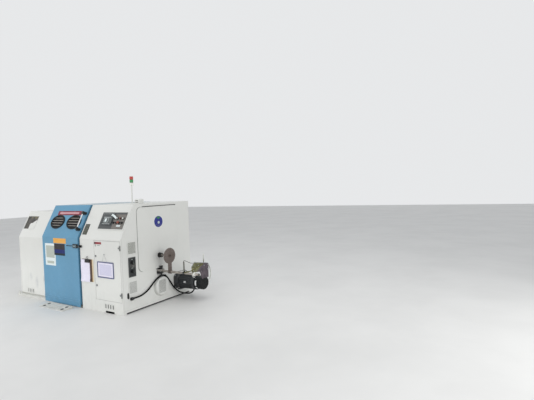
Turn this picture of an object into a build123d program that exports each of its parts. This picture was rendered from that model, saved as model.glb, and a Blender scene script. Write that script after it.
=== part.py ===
from build123d import *
from math import cos, pi, radians, sin, tan
import os

os.makedirs("parts", exist_ok=True)

# Double-twist wire bunching machine, in millimetres
# X runs along the machine towards the wire inlet, the front faces -Y, Z = 0 is the floor

# Main sizes of the three sections and their common section
left_length = 890
bay_length = 959
cabinet_length = 941
machine_depth = 1461
machine_height = 1600
bend_height = 1095
slope_angle = 62.8
bend_radius = 25
axis_height = 766

# Left bearing housing, which is smaller so that the cover passes over it
left_inset = 50
left_height = 1500
left_bend_height = 1055
bearing_fit = 0.05

# Base under the left housing and the bay
base_height = 34
base_proud = 8
base_overhang = 25

# Sliding cover
cover_sheet = 4
cover_running_gap = 6
cover_overlap = 30
cover_seam_gap = 29
cover_floor_gap = 10
cover_rise = 2
cover_bend_rise = 3
cover_flange = 30

machine_length = left_length + bay_length + cabinet_length
left_x = -machine_length / 2
bay_x = left_x + left_length
cabinet_x = bay_x + bay_length
end_x = machine_length / 2
front_y = -machine_depth / 2
back_y = machine_depth / 2
left_front_y = front_y + left_inset
left_back_y = back_y - left_inset
rail_edge_y = front_y - base_proud
cover_front_y = rail_edge_y - cover_running_gap - cover_sheet
cover_back_y = -cover_front_y
cover_top = machine_height + cover_rise
cover_bend = bend_height + cover_bend_rise
cover_left_x = bay_x - cover_overlap
cover_right_x = cabinet_x - cover_seam_gap
cover_length = cover_right_x - cover_left_x

lean = tan(radians(slope_angle))
slope_out = (0, -sin(radians(slope_angle)), cos(radians(slope_angle)))


# Knee and ridge of a front, slope and roof line moved inwards by an inset
def knee_and_ridge(front, bend, top, inset):
    drop = inset / cos(radians(slope_angle))
    knee = bend + inset * lean - drop
    crown = top - inset
    ridge = front + (crown - bend + drop) / lean
    return (front + inset, knee), (ridge, crown)


# Plane on a sloping front: its x runs along the machine, its y up the slope from the knee
def slope_plane(front, bend, out=0):
    origin = Vector(0, front, bend) + Vector(slope_out) * out
    return Plane(origin=origin, x_dir=(1, 0, 0), z_dir=slope_out)


# Planes on the upright faces, with x to the viewer's right and y up
def front_plane(y):
    return Plane(origin=(0, y, 0), x_dir=(1, 0, 0), z_dir=(0, -1, 0))


def end_plane(out=0):
    return Plane(origin=(end_x + out, 0, 0), x_dir=(0, 1, 0), z_dir=(1, 0, 0))


# Writes a finished piece under its node name
def save(piece, name):
    piece.label = name
    export_step(piece, f"parts/{name}.step")


# Base plate, whose long edges carry the cover's rollers
base_x = left_x - base_overhang
with BuildPart() as base_plate:
    with BuildSketch(Plane.XY):
        with Locations(((base_x + cabinet_x) / 2, 0)):
            Rectangle(cabinet_x - base_x, 2 * -rail_edge_y)
    extrude(amount=base_height)
save(base_plate.part, "base_plate")

# Rubber stops at the left end of both rails
stop_length = 20
stop_width = 26
stop_height = 34
stop_edge = 5
rail_width = left_front_y - rail_edge_y
stop_x = base_x + stop_length / 2
with BuildPart() as rail_stops:
    with BuildSketch(Plane.XY.offset(base_height)):
        with Locations((stop_x, rail_edge_y + rail_width / 2), (stop_x, -rail_edge_y - rail_width / 2)):
            Rectangle(stop_length, stop_width)
    extrude(amount=stop_height)
    fillet(rail_stops.edges().group_by(Axis.Z)[-1], stop_edge)
save(rail_stops.part, "rail_stops")

# Left bearing housing with its window recess
window_margin = 25
window_width = 330
window_x = left_x + window_margin + window_width / 2
window_low = 155
window_high = 400
window_recess = 12
shaft_radius = 60
bore_depth = 200
left_slope = slope_plane(left_front_y, left_bend_height)
left_knee, left_ridge = knee_and_ridge(left_front_y, left_bend_height, left_height, 0)
with BuildPart() as left_housing:
    with BuildSketch(Plane.YZ.offset(left_x)) as left_section:
        with BuildLine():
            Polyline(
                (left_front_y, base_height),
                left_knee,
                left_ridge,
                (left_back_y, left_height),
                (left_back_y, base_height),
                close=True,
            )
        make_face()
        fillet(left_section.vertices().sort_by_distance((left_x, *left_knee))[0], bend_radius)
    extrude(amount=left_length)
    with BuildSketch(left_slope):
        with Locations((window_x, (window_low + window_high) / 2)):
            Rectangle(window_width, window_high - window_low)
    extrude(amount=-window_recess, mode=Mode.SUBTRACT)
    with BuildSketch(Plane.YZ.offset(bay_x)):
        with Locations((0, axis_height)):
            Circle(shaft_radius + bearing_fit)
    extrude(amount=-bore_depth, mode=Mode.SUBTRACT)
save(left_housing.part, "left_housing")

pane_thickness = 5
pane_clearance = 1
with BuildPart() as left_window:
    with BuildSketch(slope_plane(left_front_y, left_bend_height, -window_recess)):
        with Locations((window_x, (window_low + window_high) / 2)):
            Rectangle(window_width - 2 * pane_clearance, window_high - window_low - 2 * pane_clearance)
    extrude(amount=pane_thickness)
save(left_window.part, "left_window")

# Electrical cabinet with the compartment behind its door, and a toe recess under its end face
door_width = 580
door_margin = 18
door_low = 185
door_height = 887
door_thickness = 20
door_gap = 5
compartment_depth = 350
compartment_rim = 25
fork_slot_width = 194
fork_slot_height = 29
fork_slot_depth = 90
fork_slot_x = end_x - 293
toe_height = 24
toe_depth = 60
door_right = end_x - door_margin
door_left = door_right - door_width
door_x = (door_left + door_right) / 2
door_z = door_low + door_height / 2
cabinet_knee, cabinet_ridge = knee_and_ridge(front_y, bend_height, machine_height, 0)
with BuildPart() as cabinet_housing:
    with BuildSketch(Plane.YZ.offset(cabinet_x)) as cabinet_section:
        with BuildLine():
            Polyline(
                (front_y, 0),
                cabinet_knee,
                cabinet_ridge,
                (back_y, machine_height),
                (back_y, 0),
                close=True,
            )
        make_face()
        fillet(cabinet_section.vertices().sort_by_distance((cabinet_x, *cabinet_knee))[0], bend_radius)
    extrude(amount=cabinet_length)
    with BuildSketch(front_plane(front_y)):
        with Locations((door_x, door_z)):
            Rectangle(door_width + 2 * door_gap, door_height + 2 * door_gap)
    extrude(amount=-(door_thickness + door_gap), mode=Mode.SUBTRACT)
    with BuildSketch(front_plane(front_y + door_thickness + door_gap)):
        with Locations((door_x, door_z)):
            Rectangle(door_width - 2 * compartment_rim, door_height - 2 * compartment_rim)
    extrude(amount=-compartment_depth, mode=Mode.SUBTRACT)
    with BuildSketch(front_plane(front_y)):
        with Locations((fork_slot_x, fork_slot_height / 2)):
            Rectangle(fork_slot_width, fork_slot_height)
    extrude(amount=-fork_slot_depth, mode=Mode.SUBTRACT)
    with BuildSketch(end_plane()):
        with Locations((0, toe_height / 2)):
            Rectangle(machine_depth - 2 * toe_depth, toe_height)
    extrude(amount=-toe_depth, mode=Mode.SUBTRACT)
    with BuildSketch(Plane.YZ.offset(cabinet_x)):
        with Locations((0, axis_height)):
            Circle(shaft_radius + bearing_fit)
    extrude(amount=bore_depth, mode=Mode.SUBTRACT)
save(cabinet_housing.part, "cabinet_housing")

# Door: a folded tray, open at the back
door_sheet = 3
with BuildPart() as cabinet_door:
    with BuildSketch(front_plane(front_y)):
        with Locations((door_x, door_z)):
            Rectangle(door_width, door_height)
    extrude(amount=-door_thickness)
    with BuildSketch(front_plane(front_y + door_sheet)):
        with Locations((door_x, door_z)):
            Rectangle(door_width - 2 * door_sheet, door_height - 2 * door_sheet)
    extrude(amount=-(door_thickness - door_sheet), mode=Mode.SUBTRACT)
save(cabinet_door.part, "cabinet_door")

# Barrel hinges at the right edge: the outer barrels on the cabinet, the middle ones on the door
hinge_heights = (291, 979)
hinge_radius = 8
hinge_pin_radius = 4
pin_clearance = 0.3
barrel_length = 24
barrel_gap = 1
hinge_leaf = 3
hinge_x = end_x - hinge_radius
hinge_y = front_y - hinge_radius - hinge_leaf
with BuildPart() as door_hinges:
    for height in hinge_heights:
        for side in (-1, 1):
            middle = height + side * (barrel_length + barrel_gap)
            with BuildSketch(Plane.XY.offset(middle - barrel_length / 2)):
                with Locations((hinge_x, hinge_y)):
                    Circle(hinge_radius)
                with Locations((hinge_x, (hinge_y + front_y) / 2)):
                    Rectangle(hinge_radius, front_y - hinge_y)
            extrude(amount=barrel_length)
        with BuildSketch(Plane.XY.offset(height - barrel_length / 2 - barrel_gap)):
            with Locations((hinge_x, hinge_y)):
                Circle(hinge_pin_radius)
        extrude(amount=barrel_length + 2 * barrel_gap)
save(door_hinges.part, "door_hinges")

knuckle_leaf = 40
with BuildPart() as door_knuckles:
    for height in hinge_heights:
        with BuildSketch(Plane.XY.offset(height - barrel_length / 2)):
            with Locations((hinge_x, hinge_y)):
                Circle(hinge_radius)
            with BuildLine():
                Polyline(
                    (hinge_x, hinge_y - hinge_radius),
                    (door_right - knuckle_leaf, front_y - hinge_leaf),
                    (door_right - knuckle_leaf, front_y),
                    (door_right - hinge_leaf, front_y),
                    (hinge_x, hinge_y + hinge_leaf),
                    close=True,
                )
            make_face()
            with Locations((hinge_x, hinge_y)):
                Circle(hinge_pin_radius + pin_clearance, mode=Mode.SUBTRACT)
        extrude(amount=barrel_length)
save(door_knuckles.part, "door_knuckles")

# Quarter-turn locks on the door
lock_heights = (395, 838)
lock_x = door_left + 28
lock_radius = 15
lock_proud = 8
with BuildPart() as door_locks:
    with BuildSketch(front_plane(front_y)):
        with Locations(*[(lock_x, height) for height in lock_heights]):
            Circle(lock_radius)
    extrude(amount=lock_proud)
save(door_locks.part, "door_locks")

# Framed sheet on the door
frame_width = 367
frame_height = 242
frame_x = door_left + 247
frame_z = 641
frame_border = 14
frame_thickness = 8
frame_corner = 12
with BuildPart() as document_frame:
    with BuildSketch(front_plane(front_y)):
        with Locations((frame_x, frame_z)):
            RectangleRounded(frame_width, frame_height, frame_corner)
    extrude(amount=frame_thickness)
    with BuildSketch(front_plane(front_y - frame_thickness)):
        with Locations((frame_x, frame_z)):
            RectangleRounded(
                frame_width - 2 * frame_border, frame_height - 2 * frame_border, frame_corner / 2
            )
    extrude(amount=-frame_thickness / 2, mode=Mode.SUBTRACT)
save(document_frame.part, "document_frame")

# Mounting plate and drives inside the compartment
plate_margin = 20
plate_thickness = 6
compartment_back_y = front_y + door_thickness + door_gap + compartment_depth
with BuildPart() as mounting_plate:
    with BuildSketch(front_plane(compartment_back_y)):
        with Locations((door_x, door_z)):
            Rectangle(
                door_width - 2 * compartment_rim - 2 * plate_margin,
                door_height - 2 * compartment_rim - 2 * plate_margin,
            )
    extrude(amount=plate_thickness)
save(mounting_plate.part, "mounting_plate")

drive_width = 170
drive_height = 300
drive_depth = 160
drive_z = door_z + 190
drive_step = 200
drive_corner = 8
rib_count = 7
rib_pitch = 22
rib_slot = 8
rib_slot_depth = 60
relay_width = 42
relay_height = 90
relay_depth = 75
relay_count = 8
relay_gap = 4
duct_height = 60
relay_z = door_z - 120
with BuildPart() as drive_units:
    with BuildSketch(front_plane(compartment_back_y - plate_thickness)):
        with Locations((door_x, drive_z)):
            with GridLocations(drive_step, drive_height, 2, 1):
                RectangleRounded(drive_width, drive_height, drive_corner)
    extrude(amount=drive_depth)
    with BuildSketch(front_plane(compartment_back_y - plate_thickness - drive_depth)):
        with Locations((door_x, drive_z)):
            with GridLocations(drive_step, drive_height, 2, 1):
                with GridLocations(rib_pitch, drive_height, rib_count, 1):
                    Rectangle(rib_slot, drive_height)
    extrude(amount=-rib_slot_depth, mode=Mode.SUBTRACT)
    with BuildSketch(front_plane(compartment_back_y - plate_thickness)):
        with Locations((door_x, relay_z)):
            with GridLocations(relay_width + relay_gap, relay_height + duct_height, relay_count, 2):
                Rectangle(relay_width, relay_height)
    extrude(amount=relay_depth)
save(drive_units.part, "drive_units")

# Control panel in the cabinet's slope
panel_width = 568
panel_height = 279
panel_x = end_x - 311
panel_s = 299
panel_thickness = 8
cabinet_slope = slope_plane(front_y, bend_height)
with BuildPart() as control_panel:
    with BuildSketch(cabinet_slope):
        with Locations((panel_x, panel_s)):
            Rectangle(panel_width, panel_height)
    extrude(amount=panel_thickness)
save(control_panel.part, "control_panel")

panel_face = slope_plane(front_y, bend_height, panel_thickness)
screen_x = panel_x - 120
screen_width = 230
screen_height = 150
screen_bezel = 16
screen_thickness = 10
screen_sunk = 3
screen_corner = 8
with BuildPart() as panel_screen:
    with BuildSketch(panel_face):
        with Locations((screen_x, panel_s)):
            RectangleRounded(screen_width, screen_height, screen_corner)
    extrude(amount=screen_thickness)
    with BuildSketch(slope_plane(front_y, bend_height, panel_thickness + screen_thickness)):
        with Locations((screen_x, panel_s)):
            Rectangle(screen_width - 2 * screen_bezel, screen_height - 2 * screen_bezel)
    extrude(amount=-screen_sunk, mode=Mode.SUBTRACT)
save(panel_screen.part, "panel_screen")

# Push buttons beside the screen, and the two rotary switches on the end face
button_radius = 15
button_height = 16
button_pitch_x = 62
button_pitch_s = 70
button_x = panel_x + 135
end_cover_width = 840
vent_width = 162
vent_gap = 37.5
vent_y = -(end_cover_width / 2 + vent_gap + vent_width / 2)
switch_y = vent_y - 6
switch_z = 675
switch_thickness = 6
switch_pitch = 130
switch_radius = 26
switch_depth = 22
switch_grip = 12
with BuildPart() as panel_buttons:
    with BuildSketch(panel_face):
        with Locations((button_x, panel_s)):
            with GridLocations(button_pitch_x, button_pitch_s, 4, 2):
                Circle(button_radius)
    extrude(amount=button_height)
    with BuildSketch(end_plane(switch_thickness)):
        with Locations((switch_y, switch_z)):
            with GridLocations(switch_grip, switch_pitch, 1, 2):
                Circle(switch_radius)
    extrude(amount=switch_depth)
    with BuildSketch(end_plane(switch_thickness + switch_depth)):
        with Locations((switch_y, switch_z)):
            with GridLocations(switch_grip, switch_pitch, 1, 2):
                Rectangle(switch_grip, 2 * switch_radius)
    extrude(amount=switch_depth / 2)
save(panel_buttons.part, "panel_buttons")

# Louvres: the narrow one on the slope beside the cover, and two low ones on the fronts
louvre_sheet = 4
strip_x = cabinet_x + 81
strip_width = 100
strip_low = 64
strip_high = 236
strip_pitch = 14
strip_count = 11
front_louvre_x = end_x - 304
front_louvre_z = 98
front_louvre_width = 220
left_louvre_x = left_x + 305
left_louvre_z = 108
left_louvre_width = 200
low_louvre_height = 78
low_slot_height = 60
low_slot_count = 4
blade_width = 6


def low_louvre(face_y, x, z, width):
    with BuildSketch(front_plane(face_y), mode=Mode.PRIVATE) as frame:
        with Locations((x, z)):
            RectangleRounded(width, low_louvre_height, blade_width)
            with GridLocations(width / low_slot_count, low_slot_height, low_slot_count, 1):
                Rectangle(width / low_slot_count - 3 * blade_width, low_slot_height, mode=Mode.SUBTRACT)
    extrude(frame.sketch, amount=louvre_sheet)


with BuildPart() as slope_vent:
    with BuildSketch(cabinet_slope):
        with Locations((strip_x, (strip_low + strip_high) / 2)):
            Rectangle(strip_width, strip_high - strip_low)
            with GridLocations(strip_width, strip_pitch, 1, strip_count):
                Rectangle(strip_width - 3 * blade_width, strip_pitch - blade_width, mode=Mode.SUBTRACT)
    extrude(amount=louvre_sheet)
save(slope_vent.part, "slope_vent")

with BuildPart() as low_louvres:
    low_louvre(front_y, front_louvre_x, front_louvre_z, front_louvre_width)
    low_louvre(left_front_y, left_louvre_x, left_louvre_z, left_louvre_width)
save(low_louvres.part, "low_louvres")

# Clipboard hanging beside the door
board_width = 270
board_height = 346
board_x = cabinet_x + 176
board_z = 607
board_thickness = 6
board_corner = 10
clip_width = 110
clip_height = 46
clip_depth = 14
with BuildPart() as clipboard:
    with BuildSketch(front_plane(front_y)):
        with Locations((board_x, board_z)):
            RectangleRounded(board_width, board_height, board_corner)
    extrude(amount=board_thickness)
    with BuildSketch(Plane.YZ.offset(board_x - clip_width / 2)):
        with BuildLine():
            Polyline(
                (front_y - board_thickness, board_z + board_height / 2),
                (front_y - board_thickness - clip_depth, board_z + board_height / 2 - clip_depth),
                (front_y - board_thickness - clip_depth / 2, board_z + board_height / 2 - clip_height),
                (front_y - board_thickness, board_z + board_height / 2 - clip_height),
                close=True,
            )
        make_face()
    extrude(amount=clip_width)
save(clipboard.part, "clipboard")

# Bolted covers: the big one on the right end face, and the service panels at the back
end_cover_low = 570
end_cover_high = 1550
end_cover_radius = 80
end_cover_thickness = 8
end_cover_z = (end_cover_low + end_cover_high) / 2
back_margin = 90
back_panel_radius = 20
back_panel_thickness = 4
back_panel_low = 180
with BuildPart() as cover_panels:
    with BuildSketch(end_plane()):
        with Locations((0, end_cover_z)):
            RectangleRounded(end_cover_width, end_cover_high - end_cover_low, end_cover_radius)
    extrude(amount=end_cover_thickness)
    for start_x, length, face_y, top in (
        (left_x, left_length, left_back_y, left_height),
        (cabinet_x, cabinet_length, back_y, machine_height),
    ):
        with BuildSketch(front_plane(face_y)):
            with Locations((start_x + length / 2, (back_panel_low + top - back_margin) / 2)):
                RectangleRounded(
                    length - 2 * back_margin, top - back_margin - back_panel_low, back_panel_radius
                )
        extrude(amount=-back_panel_thickness)
save(cover_panels.part, "cover_panels")

vent_height = 192
vent_heights = (373, 958)
vent_thickness = 5
vent_border = 12
vent_pitch = 14
vent_count = 12
with BuildPart() as end_vents:
    with BuildSketch(end_plane()):
        with Locations(*[(vent_y, height) for height in vent_heights]):
            Rectangle(vent_width, vent_height)
            with GridLocations(vent_width, vent_pitch, 1, vent_count):
                Rectangle(vent_width - 2 * vent_border, vent_pitch - blade_width, mode=Mode.SUBTRACT)
    extrude(amount=vent_thickness)
save(end_vents.part, "end_vents")

switch_width = 125
switch_height = 290
switch_border = 10
with BuildPart() as switch_panel:
    with BuildSketch(end_plane()):
        with Locations((switch_y, switch_z)):
            Rectangle(switch_width, switch_height)
    extrude(amount=2 * switch_thickness)
    with BuildSketch(end_plane(2 * switch_thickness)):
        with Locations((switch_y, switch_z)):
            Rectangle(switch_width - 2 * switch_border, switch_height - 2 * switch_border)
    extrude(amount=-switch_thickness, mode=Mode.SUBTRACT)
save(switch_panel.part, "switch_panel")

# Round belt cover on a thin flange, with a grille in its face
round_cover_radius = 145
round_cover_depth = 45
round_cover_edge = 22
round_flange_radius = 154
round_flange_thickness = 4
round_cover_y = 20
round_cover_z = 268
grille_y = -16
grille_z = 2
grille_width = 150
grille_pitch = 14.5
grille_count = 14
grille_depth = 4
with BuildPart() as round_cover:
    with BuildSketch(end_plane()):
        with Locations((round_cover_y, round_cover_z)):
            Circle(round_cover_radius)
    extrude(amount=round_cover_depth)
    fillet(round_cover.faces().sort_by(Axis.X)[-1].edges(), round_cover_edge)
    with BuildSketch(end_plane()):
        with Locations((round_cover_y, round_cover_z)):
            Circle(round_flange_radius)
    extrude(amount=round_flange_thickness)
    with BuildSketch(end_plane(round_cover_depth)):
        with Locations((round_cover_y + grille_y, round_cover_z + grille_z)):
            with GridLocations(grille_width, grille_pitch, 1, grille_count):
                Rectangle(grille_width, grille_pitch - blade_width)
    extrude(amount=-grille_depth, mode=Mode.SUBTRACT)
save(round_cover.part, "round_cover")

nose_radius = 34
nose_bore = 14
nose_length = 55
with BuildPart() as inlet_nose:
    with BuildSketch(end_plane(end_cover_thickness)):
        with Locations((0, axis_height)):
            Circle(nose_radius)
            Circle(nose_bore, mode=Mode.SUBTRACT)
    extrude(amount=nose_length)
save(inlet_nose.part, "inlet_nose")

# Guide rail, a tube with an open end, held by a bracket on the end face
rail_radius = 17
rail_bore = 13.5
rail_height = 513
rail_length = 816
with BuildPart() as guide_rail:
    with BuildSketch(end_plane()):
        with Locations((0, rail_height)):
            Circle(rail_radius)
            Circle(rail_bore, mode=Mode.SUBTRACT)
    extrude(amount=rail_length)
save(guide_rail.part, "guide_rail")

# Brackets on the rail: the wall clamp with its lugs, and the split collar that carries a post
clamp_width = 90
clamp_height = 60
clamp_depth = 60
clamp_corner = 9
foot_width = 130
foot_height = 96
foot_thickness = 10
lug_radius = 16
lug_length = 24
post_x = 518
post_radius = 7
post_top = 695
post_collar = 26
post_collar_length = 30
post_sunk = 4
rod_radius = 3.5
rod_rise = 17
rod_bend = 14
tray_x = 700
tray_thickness = 12
tray_rod_y = 8
tray_rod_z = 676
with BuildPart() as rail_brackets:
    with BuildSketch(end_plane()):
        with Locations((0, rail_height)):
            RectangleRounded(foot_width, foot_height, clamp_corner)
            Circle(rail_radius, mode=Mode.SUBTRACT)
    extrude(amount=foot_thickness)
    with BuildSketch(end_plane(foot_thickness)):
        with Locations((0, rail_height)):
            RectangleRounded(clamp_width, clamp_height, clamp_corner)
            Circle(rail_radius, mode=Mode.SUBTRACT)
    extrude(amount=clamp_depth - foot_thickness)
    for side in (-1, 1):
        with BuildSketch(Plane.XY.offset(rail_height + side * clamp_height / 2)):
            with Locations((end_x + (clamp_depth + foot_thickness) / 2, 0)):
                Circle(lug_radius)
        extrude(amount=side * lug_length)
    with BuildSketch(end_plane(post_x - post_collar_length / 2)):
        with Locations((0, rail_height)):
            Circle(post_collar)
            Circle(rail_radius, mode=Mode.SUBTRACT)
    extrude(amount=post_collar_length)
    with BuildSketch(Plane.XY.offset(rail_height + post_collar - post_sunk)):
        with Locations((end_x + post_x, 0)):
            Circle(post_radius)
    extrude(amount=post_top - rail_height - post_collar + post_sunk)
    with BuildLine() as rod_line:
        FilletPolyline(
            (end_x + post_x, 0, post_top - post_sunk),
            (end_x + post_x, 0, post_top + rod_rise),
            (end_x + tray_x - 4 * rod_bend, tray_rod_y, tray_rod_z),
            (end_x + tray_x - tray_thickness / 2, tray_rod_y, tray_rod_z),
            radius=rod_bend,
        )
    with BuildSketch(Plane(origin=rod_line.line @ 0, z_dir=rod_line.line % 0)):
        Circle(rod_radius)
    sweep(path=rod_line.wire())
save(rail_brackets.part, "rail_brackets")

# Round lay plate, drilled for the wires, on a stem with a collar
lay_x = 226
lay_radius = 122
lay_thickness = 12
lay_bore = 22
lay_hole = 4
lay_rings = ((56, 8), (94, 14))
stem_width = 72
collar_radius = 30
collar_length = 50
with BuildPart() as lay_plate:
    with BuildSketch(end_plane(lay_x - lay_thickness / 2)):
        with Locations((0, axis_height)):
            Circle(lay_radius)
        with Locations((0, (axis_height + rail_height) / 2)):
            Rectangle(stem_width, axis_height - rail_height)
        with Locations((0, axis_height)):
            Circle(lay_bore, mode=Mode.SUBTRACT)
            for ring_radius, hole_count in lay_rings:
                with PolarLocations(ring_radius, hole_count):
                    Circle(lay_hole, mode=Mode.SUBTRACT)
    extrude(amount=lay_thickness)
    with BuildSketch(end_plane(lay_x - collar_length / 2)):
        with Locations((0, rail_height)):
            Circle(collar_radius)
    extrude(amount=collar_length)
    with BuildSketch(end_plane(lay_x - collar_length / 2)):
        with Locations((0, rail_height)):
            Circle(rail_radius)
    extrude(amount=collar_length, mode=Mode.SUBTRACT)
save(lay_plate.part, "lay_plate")

# Wire guard at the rail's free end: a folded plate with a mast and a bent strip
guard_low = 540
guard_left = -30
guard_right = 356
guard_high = 690
guard_shoulder = 621
guard_corner = 15
mast_y = 250
mast_radius = 7
mast_top = 781
strip_bulge = (406, 505)
strip_end = (385, 356)
strip_thick = 5
strip_deep = 14
strip_root = 10
with BuildPart() as wire_tray:
    with BuildSketch(end_plane(tray_x - tray_thickness / 2)) as guard:
        with BuildLine():
            Polyline(
                (guard_left, guard_low),
                (guard_left, guard_high - 2 * collar_radius),
                (-guard_left, guard_high),
                (guard_right, guard_shoulder),
                (guard_right, guard_low - collar_radius),
                (mast_y, guard_low - collar_radius),
                close=True,
            )
        make_face()
        fillet(guard.vertices(), guard_corner)
        with Locations((0, rail_height)):
            Circle(collar_radius)
            Circle(rail_radius, mode=Mode.SUBTRACT)
    extrude(amount=tray_thickness)
    with BuildSketch(Plane.XY.offset(guard_shoulder)):
        with Locations((end_x + tray_x, mast_y)):
            Circle(mast_radius)
    extrude(amount=mast_top - guard_shoulder)
    with BuildSketch(end_plane(tray_x - strip_deep / 2)):
        with BuildLine():
            outer = ThreePointArc(
                (guard_right - strip_root, guard_shoulder - strip_root), strip_bulge, strip_end
            )
            inner = ThreePointArc(
                (guard_right - strip_root - strip_thick, guard_shoulder - strip_root),
                (strip_bulge[0] - strip_thick, strip_bulge[1]),
                (strip_end[0] - strip_thick, strip_end[1]),
            )
            Line(outer @ 0, inner @ 0)
            Line(outer @ 1, inner @ 1)
        make_face()
        with Locations((strip_end[0] - collar_radius / 2, strip_end[1] + strip_thick / 2)):
            Rectangle(collar_radius, strip_thick)
    extrude(amount=strip_deep)
save(wire_tray.part, "wire_tray")

# Drive motor beside the round cover: wall flange, ribbed body between its end bells, and feet
motor_y = 420
motor_z = 270
motor_radius = 120
motor_length = 400
motor_flange = 20
bell_front = 70
bell_back = 45
rib_height = 12
rib_thickness = 5
motor_rib_count = 24
foot_span = 150
foot_drop = 16
foot_x = 75
foot_length = 60
cowl_radius = 106
cowl_length = 150
cowl_edge = 20
cowl_rings = (74, 56, 38)
cowl_slot = 8
cowl_spoke = 7
cowl_slot_depth = 4
with BuildPart() as motor_body:
    with BuildSketch(end_plane()):
        with Locations((motor_y, motor_z)):
            RectangleRounded(2 * motor_radius, 2 * motor_radius, motor_radius / 2)
    extrude(amount=motor_flange)
    with BuildSketch(end_plane(motor_flange)):
        with Locations((motor_y, motor_z)):
            Circle(motor_radius - rib_height)
            with PolarLocations(motor_radius - rib_height, motor_rib_count):
                Rectangle(2 * rib_height, rib_thickness)
            Circle(motor_radius, mode=Mode.INTERSECT)
    extrude(amount=motor_length)
    with BuildSketch(end_plane(motor_flange)):
        with Locations((motor_y, motor_z)):
            Circle(motor_radius)
    extrude(amount=bell_front)
    with BuildSketch(end_plane(motor_flange + motor_length - bell_back)):
        with Locations((motor_y, motor_z)):
            Circle(motor_radius)
    extrude(amount=bell_back)
    with BuildSketch(Plane.XY.offset(motor_z - motor_radius - foot_drop)):
        with Locations((end_x + foot_x, motor_y)):
            Rectangle(foot_length, foot_span)
    extrude(amount=foot_drop)
    with BuildSketch(Plane.XY.offset(motor_z - motor_radius)):
        with Locations((end_x + foot_x, motor_y)):
            Rectangle(foot_length, foot_span / 2)
    extrude(amount=motor_radius / 2)
save(motor_body.part, "motor_body")

with BuildPart() as fan_cowl:
    with BuildSketch(end_plane(motor_flange + motor_length)):
        with Locations((motor_y, motor_z)):
            Circle(cowl_radius)
    extrude(amount=cowl_length)
    fillet(fan_cowl.faces().sort_by(Axis.X)[-1].edges(), cowl_edge)
    with BuildSketch(end_plane(motor_flange + motor_length + cowl_length)):
        with Locations((motor_y, motor_z)):
            for ring in cowl_rings:
                Circle(ring)
                Circle(ring - cowl_slot, mode=Mode.SUBTRACT)
            with PolarLocations(0, 4):
                Rectangle(2 * cowl_radius, cowl_spoke, mode=Mode.SUBTRACT)
    extrude(amount=-cowl_slot_depth, mode=Mode.SUBTRACT)
save(fan_cowl.part, "fan_cowl")

# Terminal box on the far side of the motor, with its gland pointing down
terminal_length = 140
terminal_depth = 70
terminal_height = 120
terminal_x = 220
terminal_sunk = 20
terminal_y = motor_y + motor_radius - terminal_sunk
cable_end_inset = 28
gland_radius = 15
gland_length = 22
with BuildPart() as terminal_box:
    with BuildSketch(end_plane(terminal_x - terminal_length / 2)):
        with Locations((terminal_y + terminal_depth / 2, motor_z)):
            Rectangle(terminal_depth, terminal_height)
        with Locations((motor_y, motor_z)):
            Circle(motor_radius, mode=Mode.SUBTRACT)
    extrude(amount=terminal_length)
    cable_end_y = terminal_y + terminal_depth - cable_end_inset
    with BuildSketch(Plane.XY.offset(motor_z - terminal_height / 2 - gland_length)):
        with Locations((end_x + terminal_x, cable_end_y)):
            Circle(gland_radius)
    extrude(amount=gland_length)
save(terminal_box.part, "terminal_box")

# Cable sizes, and the gland block low on the end face from which the motor cable leaves
cable_radius = 11.5
cable_out = 18
cable_start_y = front_y + 190
cable_start_z = 213
gland_block = 40
gland_corner = 4
arc_share = 0.45
# Motor cable: held by its glands and a clip, over the round cover and under the motor
cable_points = [
    (end_x + cable_out, cable_start_y, cable_start_z),
    (end_x + cable_out, -412, cable_start_z),
    (end_x + cable_out, -281, 259),
    (end_x + cable_out, -183, 333),
    (end_x + cable_out, -72, 413),
    (end_x + cable_out, 37, 438),
    (end_x + cable_out, 112, 412),
    (end_x + cable_out, 198, 304),
    (end_x + cable_out + 8, 268, 186),
    (end_x + cable_out + 50, 346, 92),
    (end_x + 130, 437, 50),
    (end_x + 190, 512, 41),
    (end_x + terminal_x, cable_end_y, 103),
    (end_x + terminal_x, cable_end_y, motor_z - terminal_height / 2 - gland_length),
]
cable_vectors = [Vector(*point) for point in cable_points]
cable_radii = []
for before, here, after in zip(cable_vectors, cable_vectors[1:], cable_vectors[2:]):
    turn = (here - before).get_angle(after - here)
    run = min((here - before).length, (after - here).length)
    cable_radii.append(arc_share * run / tan(radians(turn / 2)))
print("motor cable arc radii", [round(radius) for radius in cable_radii])
with BuildPart() as motor_cable:
    with BuildLine() as cable_line:
        FilletPolyline(*cable_vectors, radius=cable_radii)
    with BuildSketch(Plane(origin=cable_vectors[0], z_dir=cable_line.line % 0)):
        Circle(cable_radius)
    sweep()
cable_length = sum(edge.length for edge in cable_line.edges())
cable_share = motor_cable.part.volume / (pi * cable_radius**2 * cable_length)
print("motor cable length", round(cable_length), "volume over section times length", round(cable_share, 4))
save(motor_cable.part, "motor_cable")

# Gland block, and the clip that holds the cable to the wall beside the round cover
clip_pad = 12
clip_offset = 6
cable_seat = 0.3
clip_point = cable_points[6]
with BuildPart() as cable_fittings:
    with BuildSketch(end_plane()):
        with Locations((cable_start_y - gland_length - gland_block / 2, cable_start_z)):
            RectangleRounded(gland_block, gland_block, gland_corner)
    extrude(amount=2 * cable_out)
    with BuildSketch(Plane.XZ.offset(-cable_start_y)):
        with Locations((end_x + cable_out, cable_start_z)):
            Circle(gland_radius)
    extrude(amount=gland_length)
    with BuildSketch(end_plane()):
        with Locations((clip_point[1] - clip_offset, clip_point[2] + clip_offset)):
            Circle(clip_pad)
    extrude(amount=cable_out - cable_radius - cable_seat)
save(cable_fittings.part, "cable_fittings")

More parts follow.
